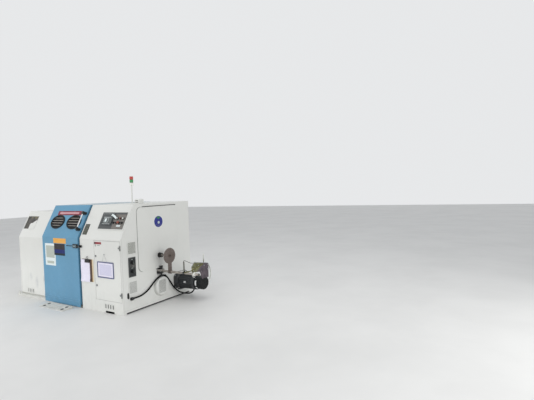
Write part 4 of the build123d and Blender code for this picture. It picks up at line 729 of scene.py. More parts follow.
def makeCabinetFront():
    s = {"doorX": 1.087, "doorZ": 0.6285, "slotX": 1.102, "slotDeep": 0.089, "sheetHalf": 0.1485, "paper": 0.0005}
    gap = Shape().rim(onFront(s["doorX"], s["doorZ"]), 0.59, 0.897, 0.004, -0.003, 0.003, -0.012)
    gap.make("doorGapSeal", "seamGrey", "cable_rubber")
    louvre("frontLouvre", onFront(1.091, 0.098), 0.205, 0.0825, 0.012, 0.012)
    outer, inner = ([(-half, 0.0006), (half, 0.0006), (half, high), (-half, high)]
                    for half, high in ((0.09675, 0.0285), (0.09625, 0.0275)))
    deep = -s["slotDeep"]  # painted shade: dark lining inside the fork slot
    slotShade = Shape().layers(onFront(s["slotX"], 0), [(outer, 0), (outer, deep), (inner, deep), (inner, 0)], True)
    slotShade.pad(onFront(s["slotX"], 0.0145, deep), 0.192, 0.027, 0.001, 0.001, 0.0002)
    slotShade.make("forkSlotShade", "seal", "base_paint")
    papers = Shape()
    for turn, x, z, low in ((0.0, 0.576, 0.6235, 0.0), (-0.01, 0.574, 0.5885, 0.0007),
                            (0.014, 0.57, 0.5785, 0.0014)):
        rows = []
        for up in spread(-s["sheetHalf"], s["sheetHalf"], 12):
            curl = 0.012 * max(0, -(up + 0.05) / 0.1) ** 2 * (1 if low else 0.3)
            rows.append([(-0.105, up, curl), (0.105, up, curl * 0.4), (0.105, up, curl * 0.4 + s["paper"]),
                         (-0.105, up, curl + s["paper"])])
        papers.skin(spun(onFront(x, z, 0.0061 + low), turn), rows)
    papers.make("clipPapers", "paper", "board")
    at = onFront(0.63, 0.78, 0.006)
    bow = [(-0.045, -0.02, 0.016), (-0.03, 0.01, 0.018), (0, 0.022, 0.018), (0.03, 0.01, 0.018), (0.045, -0.02, 0.016)]
    clip = Shape().pad(at, 0.118, 0.014, 0.01, 0.003, 0.001, (0, -0.046)).tube(at, smoothLine(bow), 0.0022, 8)
    clip.turned(moved(at, 0, -0.016), [(0.009, 0.008), (0.009, 0.018), (0.006, 0.02)], 18)
    clip.make("boardClip", "blackened", "board")
    nail = onFront(0.63, 0.815)
    wire = [(-0.014, -0.03, 0.008), (-0.006, 0.001, 0.013), (0, 0.0045, 0.013), (0.006, 0.001, 0.013),
            (0.014, -0.03, 0.008)]
    hook = Shape().turned(nail, [(0.0035, 0), (0.0035, 0.018), (0.006, 0.019), (0.006, 0.022), (0.004, 0.023)], 14)
    hook.tube(nail, smoothLine(wire), 0.0014, 8).make("boardHook", "blackened", "board")


def makeDoor():
    s = {"middleX": 1.087, "middleZ": 0.6285, "frameX": 1.044, "frameZ": 0.641, "lockX": 0.825,
         "lockHeights": (0.395, 0.838), "hingeHeights": (0.291, 0.979), "hingeXs": (1.345, 1.363)}
    sheet = spun(onFront(s["frameX"], s["frameZ"], 0.004), -0.012)
    pads("door", [
        ("doorRedLabel", "doorRedPrint", "white_paint", onFront(0.884, 1.036), 0.166, 0.034),
        ("doorLabelField", "darkPlate", "white_paint", onFront(0.8205, 1.036, 0.0011), 0.03, 0.026, 0.0005, 0.002,
         0.0002),
        ("doorSheet", "paper", "frame_plastic", sheet, 0.332, 0.207, 0.0009, 0.002, 0.0003),
        ("doorForm", "formPaper", "frame_plastic", lifted(sheet, 0.0009), 0.275, 0.165, 0.0005, 0.002, 0.0002)])
    marks = Shape().pad(onFront(0.832, 0.999), 0.026, 0.03, 0.001, 0.002, 0.0003)
    marks.pad(onFront(0.902, 1.002), 0.06, 0.014, 0.001, 0.002, 0.0003)
    marks.make("doorSmallLabels", "markPrint", "white_paint", "door")
    knob = onFront(1.03, 0.872)  # hook and wire loop that hold the document frame
    loop = [(-0.055, -0.109, 0.006), (-0.02, -0.045, 0.008), (-0.005, 0.003, 0.009), (0.005, 0.003, 0.009),
            (0.022, -0.05, 0.008), (0.06, -0.109, 0.006)]
    hanger = Shape().turned(knob, [(0.004, 0), (0.004, 0.012), (0.007, 0.013), (0.007, 0.016), (0.005, 0.017)], 14)
    hanger.tube(knob, smoothLine(loop), 0.0012, 6).make("frameHanger", "zinc", "frame_plastic", "door")
    screws = Shape().capScrews(onFront(s["frameX"], s["frameZ"], 0.008), 0.0035, corners(0.172, 0.11))
    screws.make("frameScrews", "zinc", "bar_metal", "door")
    faces, cams = Shape(), Shape()
    for z in s["lockHeights"]:
        at, behind = onFront(s["lockX"], z, 0.008), onBack(s["lockX"], z, 0.003, frontY)
        faces.turned(at, [(0.0125, 0), (0.0125, 0.0015), (0.0115, 0.0025)], 24)
        faces.pad(at, 0.004, 0.014, 0.004, 0.001, 0.0005)
        cams.turned(behind, [(0.01, 0), (0.01, 0.01), (0.006, 0.012)], 20)
        cams.pad(behind, 0.014, 0.034, 0.014, 0.004, 0.001, (0, 0.008), 0.0115)
    faces.make("lockFaces", "zinc", "bar_metal", "door")
    cams.make("lockCams", "zinc", "bar_metal", "door")
    back = onBack(s["middleX"], s["middleZ"], 0.003, frontY)  # foam seal and stiffeners on the door's inside
    Shape().rim(back, 0.56, 0.867, 0.012, 0.014, 0.006).make("doorSealInner", "seal", "cable_rubber", "door")
    ribs = Shape().pad(back, 0.2, 0.26, 0.011, 0.004, 0.001, (0, -0.12))
    for x in (-0.12, 0.12):
        for across in (0, 0.028):
            ribs.pad(back, 0.002, 0.78, 0.012, 0.0008, 0.0004, (x + across, 0))
        ribs.pad(moved(back, x + 0.014, 0, 0.012), 0.03, 0.78, 0.002, 0.0008, 0.0004)
    ribs.make("doorRibs", "white", "white_paint", "door")
    pins = Shape().capScrews(onFront(0, 0, 0.0035), 0.0028, [
        (x, height + up) for height in s["hingeHeights"] for up in (-0.008, 0.008) for x in s["hingeXs"]])
    pins.make("hingeScrews", "blackened", "bar_metal", "door")


def makeCompartment():
    s = {"middle": 1.087, "back": frontY + 0.375, "pitch": 0.02, "relayZ": 0.5085, "driveZ": 0.8185, "wires": 14}
    ducts = Shape()  # slotted wiring ducts
    for x, z, width, height in ((1.087, 1.032, 0.46, 0.035), (1.087, 0.632, 0.46, 0.035), (1.087, 0.405, 0.46, 0.03),
                                (0.865, 0.52, 0.03, 0.19), (1.309, 0.52, 0.03, 0.19)):
        where = onFront(x, z, 0.006, s["back"])
        ducts.pad(where, width, height, 0.055, 0.002, 0.001)
        length = max(width, height)
        for spot in spread(0.012 - length / 2, length / 2 - 0.012, int(length / s["pitch"])):
            level = width > height
            size, shift = ((0.006, height + 0.004), (spot, 0)) if level else ((width + 0.004, 0.006), (0, spot))
            ducts.pad(where, *size, 0.045, 0.001, 0.0005, shift, 0.004)
    ducts.make("wiringDucts", "duct", "drive_plastic")
    relays, keys, drives, wires = Shape(), Shape(), Shape(), Shape()
    terminals = [(x, up) for x in (-0.01, 0, 0.01) for up in (-0.034, 0.034)]
    for row in (-0.075, 0.075):
        for x in spread(-0.161, 0.161, 8):
            where = onFront(s["middle"] + x, s["relayZ"] + row, 0.081, s["back"])
            relays.pad(where, 0.034, 0.03, 0.006, 0.002, 0.001)
            keys.pad(lifted(where, 0.006), 0.012, 0.014, 0.005, 0.001, 0.001).capScrews(where, 0.0032, terminals)
    relays.make("relayFaces", "paleDuct", "drive_plastic")
    keys.make("relayKeys", "blackPlastic", "drive_plastic")
    for x in (-0.1, 0.1):
        where = onFront(s["middle"] + x, s["driveZ"], 0.166, s["back"])
        drives.pad(where, 0.1, 0.12, 0.004, 0.004, 0.001, (0, 0.04))
        drives.pad(where, 0.07, 0.03, 0.007, 0.002, 0.001, (0, 0.072))
        drives.turned(where, [(0.005, 0), (0.005, 0.007), (0.004, 0.008)], 14,
                      spots=[(across, 0.012) for across in (-0.03, -0.01, 0.01, 0.03)])
    drives.make("drivePanels", "blackPlastic", "drive_plastic")
    for i in range(s["wires"]):
        start = Vector((s["middle"] - 0.17 + 0.026 * i, s["back"] - 0.05, 0.4))
        points = [start, start + Vector((0, -0.02, -0.03)),
                  start + Vector((random.uniform(-0.02, 0.02), -0.03 - random.uniform(0, 0.02), -0.09)),
                  start + Vector((random.uniform(-0.03, 0.03), -0.01, -0.15)), start + Vector((0, 0.03, -0.175))]
        wires.tube(world, smoothLine(points, 5), 0.0032, 7)
    wires.make("compartmentWires", "rubber", "cable_rubber")


def makeControlPanel():
    s = {"middle": 1.084, "up": 0.299, "plateX": 0.147, "keysX": 0.135, "stopX": 0.166, "rows": (0.035, -0.035)}
    face, screen = (onSlope(s["middle"], s["up"], out) for out in (0.008, 0.015))
    panelFrame = Shape().rim(lifted(face, -0.008), 0.582, 0.293, 0.012, 0.0095, 0.006, 0.0, 0.001)
    panelFrame.make("panelFrame", "white", "white_paint")
    pads("machine", [
        ("panelField", "panel", "dark_panel", face, 0.285, 0.262, 0.0016, 0.004, 0.0006, (-0.132, 0)),
        ("panelPlate", "panelGrey", "dark_panel", face, 0.245, 0.262, 0.0022, 0.004, 0.0006, (s["plateX"], 0)),
        ("screenImage", "display", "screen_glass", screen, 0.212, 0.09, 0.0012, 0.002, 0.0003, (-0.129, 0.0005)),
        ("screenField", "whitePrint", "screen_glass", moved(screen, -0.153, 0.006, 0.0012), 0.04, 0.05,
         0.0005, 0.004, 0.0002),
        ("panelHeader", "panel", "dark_panel", moved(face, s["plateX"], 0.114, 0.0022), 0.238, 0.026,
         0.0006, 0.002, 0.0002),
        ("slopeVentBack", "ventBacking", "dark_panel", onSlope(0.535, 0.15), 0.084, 0.158, 0.0014, 0.001, 0.0003)])
    bars = Shape().pad(face, 0.25, 0.003, 0.0022, 0.001, 0.0003, (-0.135, 0.112), 0.0014)
    for x, up, width, high in ((-0.139, 0.0575, 0.186, 0.016), (-0.137, -0.063, 0.196, 0.024)):
        bars.pad(screen, width, high, 0.001, 0.002, 0.0003, (x, up))
    bars.rim(moved(screen, -0.1425, 0.006, 0.0012), 0.104, 0.074, 0.006, 0.0008, 0.006, 0.0, 0.0002)
    bars.make("panelLines", "paleBar", "dark_panel")  # bare bars where the panel's markings are
    slip = Shape().pad(moved(face, s["stopX"], -0.081, 0.0022), 0.085, 0.026, 0.001, 0.003, 0.0003)
    curl = [(-0.064, 0.094, 0.003), (-0.026, 0.086, 0.016), (0.022, 0.07, 0.03), (0.066, 0.05, 0.033),
            (0.1, 0.026, 0.031)]  # paper slip stuck over the panel's middle
    slip.tube(face, smoothLine(curl, 6), (0.015, 0.0004), flat=face.to_3x3() @ Vector((0.5, 0.86, 0)))
    slip.make("panelSlip", "whitePrint", "dark_panel")
    caps = {kind: Shape() for kind in ("redKnob", "whiteCap", "blackPlastic")}
    order = ["blackPlastic", "whiteCap", "redKnob", "whiteCap", *["blackPlastic"] * 4]
    spots = [(s["keysX"] + x, up) for up in s["rows"] for x in spread(-0.093, 0.093, 4)]
    for kind, (x, up) in zip(order, spots):
        caps[kind].turned(moved(face, x, up, 0.016), [(0.0115, 0), (0.0115, 0.006), (0.0095, 0.009)], 22)
        collar = [(0.019, 0), (0.019, 0.003), (0.0155, 0.0045), (0.0155, 0.0)]
        caps["blackPlastic"].turned(moved(face, x, up, 0.002), collar, 24, True)
    stop = [(0.012, 0), (0.012, 0.012), (0.019, 0.014), (0.02, 0.021), (0.016, 0.025)]
    caps["redKnob"].turned(moved(face, s["stopX"], -0.035, 0.016), stop, 26)
    for kind, shape in caps.items():
        shape.make("panelCaps_" + kind, kind, "black_plastic")


def makeEndFace():
    s = {"coverZ": 1.06, "ventY": -0.5385, "switchY": -0.5445, "switchZs": (0.61, 0.74), "badgeY": 0.007,
         "badgeZ": 1.302, "portY": -0.633, "portZ": 0.264}
    # painted shade: grey strip along the end cover's left and top edges, where its edge shows a shadow line
    bend = [(0.346 + y, 0.4155 + z) for y, z in arc(0.0755, 0, 90)]
    path = [(-0.36, -0.491), *[(-y, -z) for y, z in bend[::-1]], *[(-y, z) for y, z in bend], (0.4, 0.491)]
    seal = Shape().tube(onEnd(0, s["coverZ"], 0.0007), path, (0.003, 0.0012), flat=zWay)
    seal.make("endCoverShadeLine", "gapGrey", "cable_rubber")
    # painted shade: a dark bar along the end cover's top edge, standing for the shadow gap under the roof's edge
    shadowBar = Shape().tube(onEnd(0, 1.5545, 0.005), [(-0.31, 0), (0.4, 0)], (0.0035, 0.0055), flat=xWay)
    shadowBar.make("endTopShadowBar", "blackened", "white_paint")
    screws = Shape().capScrews(onEnd(0, s["coverZ"], 0.008), 0.0045, [
        *[(y, z) for z in spread(-0.38, 0.38, 5) for y in (-0.405, 0.405)],
        *[(y, z) for y in spread(-0.3, 0.3, 4) for z in (-0.472, 0.472)]])
    screws.make("endCoverScrews", "white", "bar_metal")
    pads("machine", [
        ("endVentBackLow", "backing", "white_paint", onEnd(s["ventY"], 0.373), 0.14, 0.172, 0.0014, 0.001, 0.0003),
        ("endVentBackHigh", "ventBacking", "white_paint", onEnd(s["ventY"], 0.958), 0.14, 0.172, 0.0014, 0.001, 0.0003),
        # painted shade: black strip in the toe recess under the end face, standing for the shadow band at the floor
        ("endKickStrip", "seal", "cable_rubber", onEnd(0, 0.0125, -0.014), 1.336, 0.0215, 0.003, 0.002, 0.001)])
    badge = onEnd(s["badgeY"], s["badgeZ"], 0.008)
    for name, finish, at, radius, side, top, count in (
            ("badgeRim", "whitePrint", badge, 0.0925, 0.0008, 0.0012, 48),
            ("badgeField", "badgeBlue", lifted(badge, 0.001), 0.0895, 0.0008, 0.0012, 48),
            ("badgeSpot", "paleGreyPrint", moved(badge, 0.004, -0.014, 0.002), 0.022, 0.0007, 0.001, 30)):
        profile = [(radius, 0), (radius, side), (radius - 0.001, top)]
        Shape().turned(at, profile, count).make(name, finish, "white_paint")
    wedge = [*arc(0.08, 58, 122, 14), (0, 0.038)]
    Shape().layers(lifted(badge, 0.002), [(wedge, 0), (wedge, 0.0009)]).make("badgeTop", "badgeGreen", "white_paint")
    plates, marks = Shape().pad(onEnd(s["switchY"], 0.675, 0.006), 0.104, 0.269, 0.001, 0.002, 0.0003), Shape()
    for z in s["switchZs"]:
        plates.rim(onEnd(s["switchY"], z, 0.007), 0.078, 0.078, 0.008, 0.002, 0.038)
        marks.pad(onEnd(s["switchY"], z, 0.0395), 0.003, 0.036, 0.001, 0.001, 0.0003)
        marks.pad(onEnd(s["switchY"], z + 0.05, 0.007), 0.03, 0.008, 0.0012, 0.001, 0.0003)
    plates.make("switchPlates", "darkPlate", "dark_panel")
    marks.make("switchMarks", "markPrint", "black_plastic")
    port = onEnd(s["portY"], s["portZ"])  # dark oval port low on the wall
    hole = Shape().pad(port, 0.026, 0.078, 0.003, 0.013, 0.001).rim(port, 0.036, 0.088, 0.005, 0.0045, 0.018)
    hole.make("wallPort", "seal", "black_plastic")
    face = onEnd(0, 0, 0.0003)
    seams = Shape().tube(face, [(-0.712, 0.05), (-0.712, 1.09)], (0.0008, 0.0004), flat=yWay)
    seams.tube(face, [(-0.72, 0.056), (0.72, 0.056)], (0.0004, 0.0008), flat=xWay)
    seams.make("endSeams", "seamGrey", "white_paint")
    nose = onEnd(0, axisZ, 0.008)
    flange = Shape().turned(nose, [(0.041, 0), (0.041, 0.004), (0.0395, 0.006), (0.0345, 0.006), (0.0345, 0)], 40, True)
    flange.turned(nose, [(0.0345, 0.03), (0.0365, 0.031), (0.0365, 0.039), (0.0345, 0.04)], 40, True)
    flange.make("noseFlange", "blackened", "black_plastic")
    eye = [(0.0138, -0.012), (0.0138, 0.002), (0.016, 0.0035), (0.022, 0.002), (0.022, 0), (0.01, 0),
           (0.0095, -0.012)]
    Shape().turned(lifted(nose, 0.055), eye, 36, True).make("noseEye", "ceramic", "lay_metal")


# Round cover, motor, cable ends and rail


def makeRoundCover():
    at = onEnd(0.02, 0.268)
    # grey rings at the round cover's rim: a seal, its outer ring widened as painted shade at the rim
    ring = [(0.1605, 0), (0.1605, 0.0022), (0.159, 0.0028), (0.154, 0.0028), (0.154, 0)]
    seal = Shape().turned(at, ring, 56, True)
    seal.turned(lifted(at, 0.004), [(0.147, 0), (0.147, 0.0012), (0.145, 0.002), (0.145, 0)], 56, True)
    seal.make("roundCoverSealShade", "seamGrey", "cable_rubber")
    grille = Shape().pad(moved(at, -0.016, 0.002, 0.0408), 0.15, 0.198, 0.0008, 0.012, 0.0003)
    grille.make("roundCoverGrille", "backing", "white_paint")
    screws = Shape().capScrews(lifted(at, 0.004), 0.003, oval(0.15, 8, 0.5))
    screws.make("roundCoverScrews", "zinc", "bar_metal")


def makeMotor():
    s = {"y": 0.42, "z": 0.27, "start": 0.02, "length": 0.4, "boxX": endX + 0.22, "wire": 0.0012}
    y, z, length = s["y"], s["z"], s["length"]
    axis = onEnd(y, z, s["start"])
    bands, rims = Shape(), Shape()
    for first, last in ((152, 196), (212, 238)):  # pale marks on the cowl's near side
        section = [(0.1062, 0.022), (0.1076, 0.023), (0.1076, 0.051), (0.1062, 0.052)]
        bands.skin(axis, [[(radius * across, radius * up, length + deep) for radius, deep in section]
                          for across, up in arc(1, first, last)])
    bands.make("motorBand", "whiteBand", "motor_paint")
    for low in (0.062, length - 0.045):  # rounded lips of the end bells
        lip = [(0.1195, low), (0.1225, low + 0.002), (0.1225, low + 0.008), (0.1195, low + 0.01)]
        rims.turned(axis, lip, 48, True)
    rims.make("motorLips", "motor", "motor_paint")
    bolts = Shape().hexBolts(axis, 0.008, corners(0.1, 0.1))
    bolts.hexBolts(lifted(axis, 0.07), 0.0045, oval(0.113, 4, math.pi / 4))
    bolts.hexBolts(onTop(endX + 0.075, y, 0.15), 0.006, [(0, -0.062), (0, 0.062)])
    bolts.make("motorBolts", "zinc", "bar_metal")
    base = onTop(endX + 0.21, y, z + 0.118)
    eye = Shape().turned(base, [(0.014, 0), (0.014, 0.006), (0.009, 0.01)], 20)
    eye.tube(base, [(x, 0, 0.026 + up) for x, up in closed(oval(0.017))], 0.0045, 10)
    eye.make("motorEye", "blackened", "motor_paint")
    # a nameplate, in bright bare metal as a painted highlight of its glare
    side = onFront(endX + 0.242, z + 0.012, 0, y - 0.1205)
    plate = Shape().pad(side, 0.044, 0.027, 0.0015, 0.003, 0.0004, (0, 0), -0.006)
    plate.capScrews(side, 0.0018, [(-0.017, 0), (0.017, 0)]).make("motorPlate", "brightBar", "motor_paint")
    end = lifted(axis, length + 0.15)  # wire guard over the cowl's face
    guard, wires = Shape(), lifted(end, -s["wire"])
    for radius in (0.084, 0.072, 0.06, 0.048, 0.036, 0.024):
        guard.tube(wires, closed(oval(radius, 36)), s["wire"], 6)
    for across, up in oval(1, 12):
        guard.tube(wires, [(r * across, r * up) for r in (0.012, 0.085)], s["wire"], 6)
    guard.turned(end, [(0.014, -0.003), (0.014, -0.0006), (0.012, -0.0002)], 24)
    guard.make("cowlGuard", "blackened", "motor_paint")
    screws = Shape()
    for across, up in oval(1, 4, math.pi / 4):
        rim = (endX + s["start"] + length + 0.022, y + 0.106 * across, z + 0.106 * up)
        screws.capScrews(place(rim, (-1, 0, 0), (0, -up, across)), 0.0035)
    screws.make("cowlScrews", "zinc", "motor_paint")
    lid = onBack(s["boxX"], 0.27, 0, 0.59)
    box = Shape().rim(lid, 0.136, 0.116, 0.006, 0.0012, 0.006, -0.006)
    box.capScrews(lifted(lid, -0.001), 0.004, corners(0.055, 0.045)).make("terminalLid", "motor", "motor_paint")
    nut = [(oval(0.0172, 6), -0.014), (oval(0.0172, 6), -0.004), (oval(0.0155, 6), -0.002)]
    gland = Shape().layers(place((s["boxX"], 0.582, 0.188), xWay, (0, -1, 0)), nut)
    gland.make("terminalGland", "blackPlastic", "black_plastic")


def makeCableEnds():
    s = {"blockZ": 0.213, "clipY": 0.1055, "clipZ": 0.4095, "out": 0.018, "strap": (0.006, 0.0008)}
    screws = Shape().capScrews(onEnd(-0.5825, s["blockZ"], 0.036), 0.003, corners(0.013, 0.013))
    screws.make("glandBlockScrews", "zinc", "black_plastic")
    nut = [(oval(0.0168, 6), -0.012), (oval(0.0168, 6), -0.002), (oval(0.015, 6), 0.0)]
    gland = Shape().layers(place((endX + s["out"], -0.5405, s["blockZ"]), zWay, xWay), nut)
    gland.make("glandNut", "blackPlastic", "black_plastic")
    run = Vector((0, 0.74, -0.672)).normalized()  # the cable's way at its clip
    path = [(0.0015, -0.026), (0.0015, -0.015), *arc(0.0133, -90, 90, out=s["out"]), (0.0015, 0.015), (0.0015, 0.026)]
    at = place((endX, s["clipY"], s["clipZ"]), xWay, Vector(xWay).cross(run))
    Shape().tube(at, path, s["strap"], flat=run).make("cableSaddle", "blackPlastic", "black_plastic")


def makeRailFittings():
    s = {"collar": 0.724, "post": 0.518, "lay": 0.226, "guard": 0.706, "thin": 0.0012}
    rail = onTop(endX, 0, railZ)
    Shape().hexBolts(onEnd(0, railZ, 0.01), 0.0062, corners(0.053, 0.036)).make("wallFootBolts", "zinc", "bar_metal")
    knobs, angles = Shape(), [2 * math.pi * i / 40 for i in range(40)]
    for side in (1, -1):  # lobed clamp knobs above and below the rail
        rings = []
        for radius, z in ((0.012, 0), (0.012, 0.006), (0.026, 0.01), (0.029, 0.016), (0.028, 0.024), (0.02, 0.03),
                          (0.01, 0.031)):
            reach = [radius * (1 + 0.1 * math.cos(5 * a) * min(1, radius / 0.02)) for a in angles]
            rings.append(([(r * math.cos(a), r * math.sin(a)) for r, a in zip(reach, angles)], z))
        knobs.layers(place((endX + 0.035, 0, railZ + side * 0.054), xWay, (0, side, 0)), rings)
    knobs.make("clampKnobs", "blackPlastic", "clamp_metal")
    split = Shape().hexBolts(onEnd(0, railZ, 0.06), 0.005, [(-0.032, 0), (0.032, 0)])
    split.pad(onEnd(0.031, railZ, 0.0602), 0.028, 0.0016, 0.0006, 0.0003, 0.0001)
    split.make("clampBolts", "zinc", "clamp_metal")
    collar = [(0.0172, -0.016), (0.026, -0.016), (0.0272, -0.013), (0.0272, 0.013), (0.026, 0.016), (0.0172, 0.016)]
    hook = Shape().turned(onEnd(0, railZ, s["collar"]), collar, 36, True)  # pale collar with its hooked wire
    hook.hexBolts(moved(rail, s["collar"], 0, 0.026), 0.005).make("railCollar", "whiteCap", "bar_metal")
    wire = [(0, -0.026, 0), (0, -0.04, -0.004), (0.008, -0.048, -0.018), (0.018, -0.045, -0.033),
            (0.026, -0.034, -0.036), (0.028, -0.025, -0.027)]
    wire = Shape().tube(moved(rail, s["collar"]), smoothLine(wire), 0.0035, 10)
    wire.make("collarHook", "whiteCap", "bar_metal")
    line = [(0.54, -0.02, 0.012), (0.62, -0.034, 0.035), (0.69, -0.04, 0.055), (0.716, -0.01, 0.072),
            (0.716, 0.1, 0.092), (0.7135, 0.226, 0.118)]  # thin bent strip from the rail to the guard
    strap = Shape().tube(rail, smoothLine(line, 6), (0.0075, s["thin"]), flat=(0, 0.1, 1))
    strap.make("guideStrap", "olive", "tray_metal")
    sleeve = [(0.0068, 0), (0.0105, 0), (0.0105, 0.122), (0.0098, 0.125), (0.0068, 0.125)]
    sleeve = Shape().turned(onTop(endX + s["post"], 0, 0.565), sleeve, 24, True)
    sleeve.make("postSleeve", "postOlive", "clamp_metal")
    line = [(0.408, 0, 0.0185), (0.44, 0, 0.03), (0.478, 0, 0.0425), (0.505, 0, 0.045), (0.531, 0, 0.043),
            (0.552, 0, 0.032), (0.568, 0, 0.0185)]
    brace = Shape()  # arched strips over the post's foot
    for y in (-0.0165, 0.0165):
        brace.tube(moved(rail, 0, y), smoothLine(line, 6), (0.008, s["thin"]), flat=yWay)
    brace.make("postStrap", "darkOlive", "tray_metal")
    screws = Shape().capScrews(onFront(endX + s["post"], railZ, 0, -0.026), 0.005)
    screws.capScrews(onFront(endX + 0.226, railZ + 0.001, 0, -0.03), 0.0065)
    screws.make("collarScrews", "zinc", "clamp_metal")
    plate, eyes = onEnd(0, axisZ, s["lay"]), Shape()  # eyes in the lay plate's holes, and the bush that leads the bunch
    eye = [(0.0036, -0.007), (0.0056, -0.007), (0.0066, -0.0062), (0.0066, 0.0062), (0.0056, 0.007),
           (0.0036, 0.007), (0.0024, 0.004), (0.0024, -0.004)]
    bush = [(0.014, -0.024), (0.0203, -0.024), (0.0215, -0.0225), (0.0215, 0.0062), (0.0275, 0.0062),
            (0.0275, 0.0115), (0.0255, 0.013), (0.015, 0.013), (0.0125, 0.0095), (0.0125, -0.0215)]
    eyes.turned(plate, eye, 16, True, [*oval(0.056, 8), *oval(0.094, 14)]).turned(plate, bush, 36, True)
    eyes.make("layEyes", "brownEye", "lay_metal")
    edge = Shape().turned(plate, [(0.1218, -0.0045), (0.1232, -0.003), (0.1232, 0.003), (0.1218, 0.0045)], 64, True)
    edge.make("layRim", "lay", "lay_metal")
    stem = Shape().capScrews(onEnd(0, 0.6, 0.232), 0.0036, [(-0.024, 0), (0, 0), (0.024, 0)])
    stem.make("stemScrews", "zinc", "lay_metal")
    tray = onEnd(0, 0, s["guard"])
    outline = [(0.197, 0.399), (0.344, 0.399), (0.35, 0.405), (0.35, 0.526), (0.346, 0.53), (0.15, 0.534),
               (0.144, 0.529), (0.158, 0.48), (0.19, 0.404)]  # plate bolted under the guard's far end
    Shape().layers(tray, [(outline, 0), (outline, 0.003)]).make("guardSkirt", "guard", "tray_metal")
    bolts = Shape().hexBolts(onEnd(0, 0.5235, 0.709), 0.0038, [(0.175, 0), (0.333, 0)])
    bolts.make("skirtBolts", "zinc", "bar_metal")
    fold = smoothLine([(-0.02, 0.635, 0.001), (0.02, 0.682, 0.001), (0.19, 0.655, 0.001), (0.345, 0.622, 0.001)], 6)
    guard = Shape().tube(tray, fold, 0.003, flat=xWay)
    guard.hexBolts(tray, 0.0055, [(0.0, 0.568), (0.25, 0.6), (0.335, 0.6), (0.33, 0.53), (0.12, 0.62)])
    guard.make("guardFittings", "zinc", "tray_metal")
    tip = [(0.0074, -0.014), (0.0084, -0.012), (0.0084, 0.006), (0.005, 0.0088)]
    Shape().turned(onTop(endX + 0.7, 0.25, 0.772), tip, 18).make("mastTip", "whiteCap", "tray_metal")
    mouth = [(0.0136, -0.012), (0.0136, -0.0006), (0.017, -0.0006), (0.0176, -0.003), (0.0176, -0.012)]
    Shape().turned(onEnd(0, railZ, 0.816), mouth, 36, True).make("railMouth", "blackPlastic", "bar_metal")


# Roof, back, left end and ramp


def makeRoof():
    s = {"poleX": 0.675, "poleY": 0.1295, "lampZ": 1.9, "tier": 0.052, "rib": 0.0072}
    slots, seams, lens = Shape(), Shape(), Shape()
    # painted shade: black pads where the roof cowl's slots are, for their shaded inside
    for up in (0.024, 0.048):
        slots.pad(onFront(1.183, topZ + up, 0.0, frontY + 0.536), 0.067, 0.0085, 0.002, 0.001, 0.0003)
    slots.make("roofCowlSlotShade", "seal", "white_paint")
    for x, z, first, last in ((0.77, topZ, -0.34, 0.7), (1.08, topZ, -0.34, 0.7), (-1.0, leftTopZ, -0.36, 0.65)):
        seams.tube(onTop(x, 0, z + 0.0003), [(0, first), (0, last)], (0.0008, 0.0004), flat=xWay)
    seams.make("roofSeams", "seamGrey", "white_paint")
    screws = Shape().capScrews(onTop(s["poleX"], s["poleY"], topZ + 0.008), 0.004, oval(0.024, 3, 0.5))
    screws.make("poleScrews", "zinc", "bar_metal")
    for low in [tier * s["tier"] + 0.004 + band * s["rib"] for tier in range(3) for band in range(6)]:
        rib = [(0.0298, low), (0.0308, low + 0.0018), (0.0308, low + 0.0036), (0.0298, low + 0.0054)]
        lens.turned(onTop(s["poleX"], s["poleY"], s["lampZ"]), rib, 36, True)
    lens.make("lampLens", "lamp", "lamp_plastic")


def makeBack():
    s = {"low": 0.18, "inset": 0.012, "gripZ": 0.98,
         "panels": [(-0.95, 0.355, leftBackY, 1.41), (0.9245, 0.3805, backY, 1.51)]}
    screws, seals, grips, creases = Shape(), Shape(), Shape(), Shape()
    line = smoothLine([(0, -0.055, 0), (0, -0.054, 0.006), (0, -0.046, 0.0075), (0, 0.046, 0.0075), (0, 0.054, 0.006),
                       (0, 0.055, 0)], 5)
    for middle, half, face, top in s["panels"]:
        inner, at = half - s["inset"], onBack(middle, 0, 0.004, face)
        screws.capScrews(at, 0.005, [(x, z) for z in spread(s["low"] + 0.05, top - 0.05, 7) for x in (inner, -inner)])
        screws.capScrews(at, 0.005, [(-x, z) for x in spread(0.1 - half, half - 0.1, 4)
                                     for z in (s["low"] + s["inset"], top - s["inset"])])
        seals.rim(onBack(middle, (s["low"] + top) / 2, 0, face), 2 * half + 0.006, top - s["low"] + 0.006, 0.0045,
                  0.0025, 0.022)
        for x in (-0.18, 0.18):
            grips.tube(moved(at, x, s["gripZ"]), line, 0.0032, 10)
    screws.make("backPanelScrews", "zinc", "bar_metal")
    seals.make("backPanelSeals", "gapGrey", "cable_rubber")
    grips.make("backPanelGrips", "blackPlastic", "black_plastic")
    for x, face, low, high in ((-1.375, leftBackY, 0.06, 1.48), (-0.53, leftBackY, 0.06, 1.48),
                               (0.475, backY, 0.03, 1.58), (1.375, backY, 0.03, 1.58)):
        creases.tube(onBack(x, 0, 0.0004, face), [(0, low), (0, high)], (0.001, 0.0006), flat=xWay)
    creases.make("backSeams", "seamGrey", "white_paint")


def makeLeftEnd():
    screws = Shape().capScrews(onLeftEnd(0, 0), 0.005, [(y, z) for y in (-0.62, 0.62) for z in spread(0.12, 1.02, 6)])
    screws.make("leftEndScrews", "zinc", "bar_metal")
    outline = [(0.6, 0.1), (0.6, 1.02), (0.41, 1.4), (-0.6, 1.4), (-0.6, 0.1), (0.6, 0.1)]
    seams = Shape().tube(onLeftEnd(0, 0, 0.0004), outline, (0.0012, 0.0006), flat=(0, 0.7, 0.7))
    seams.make("leftEndSeams", "seamGrey", "white_paint")


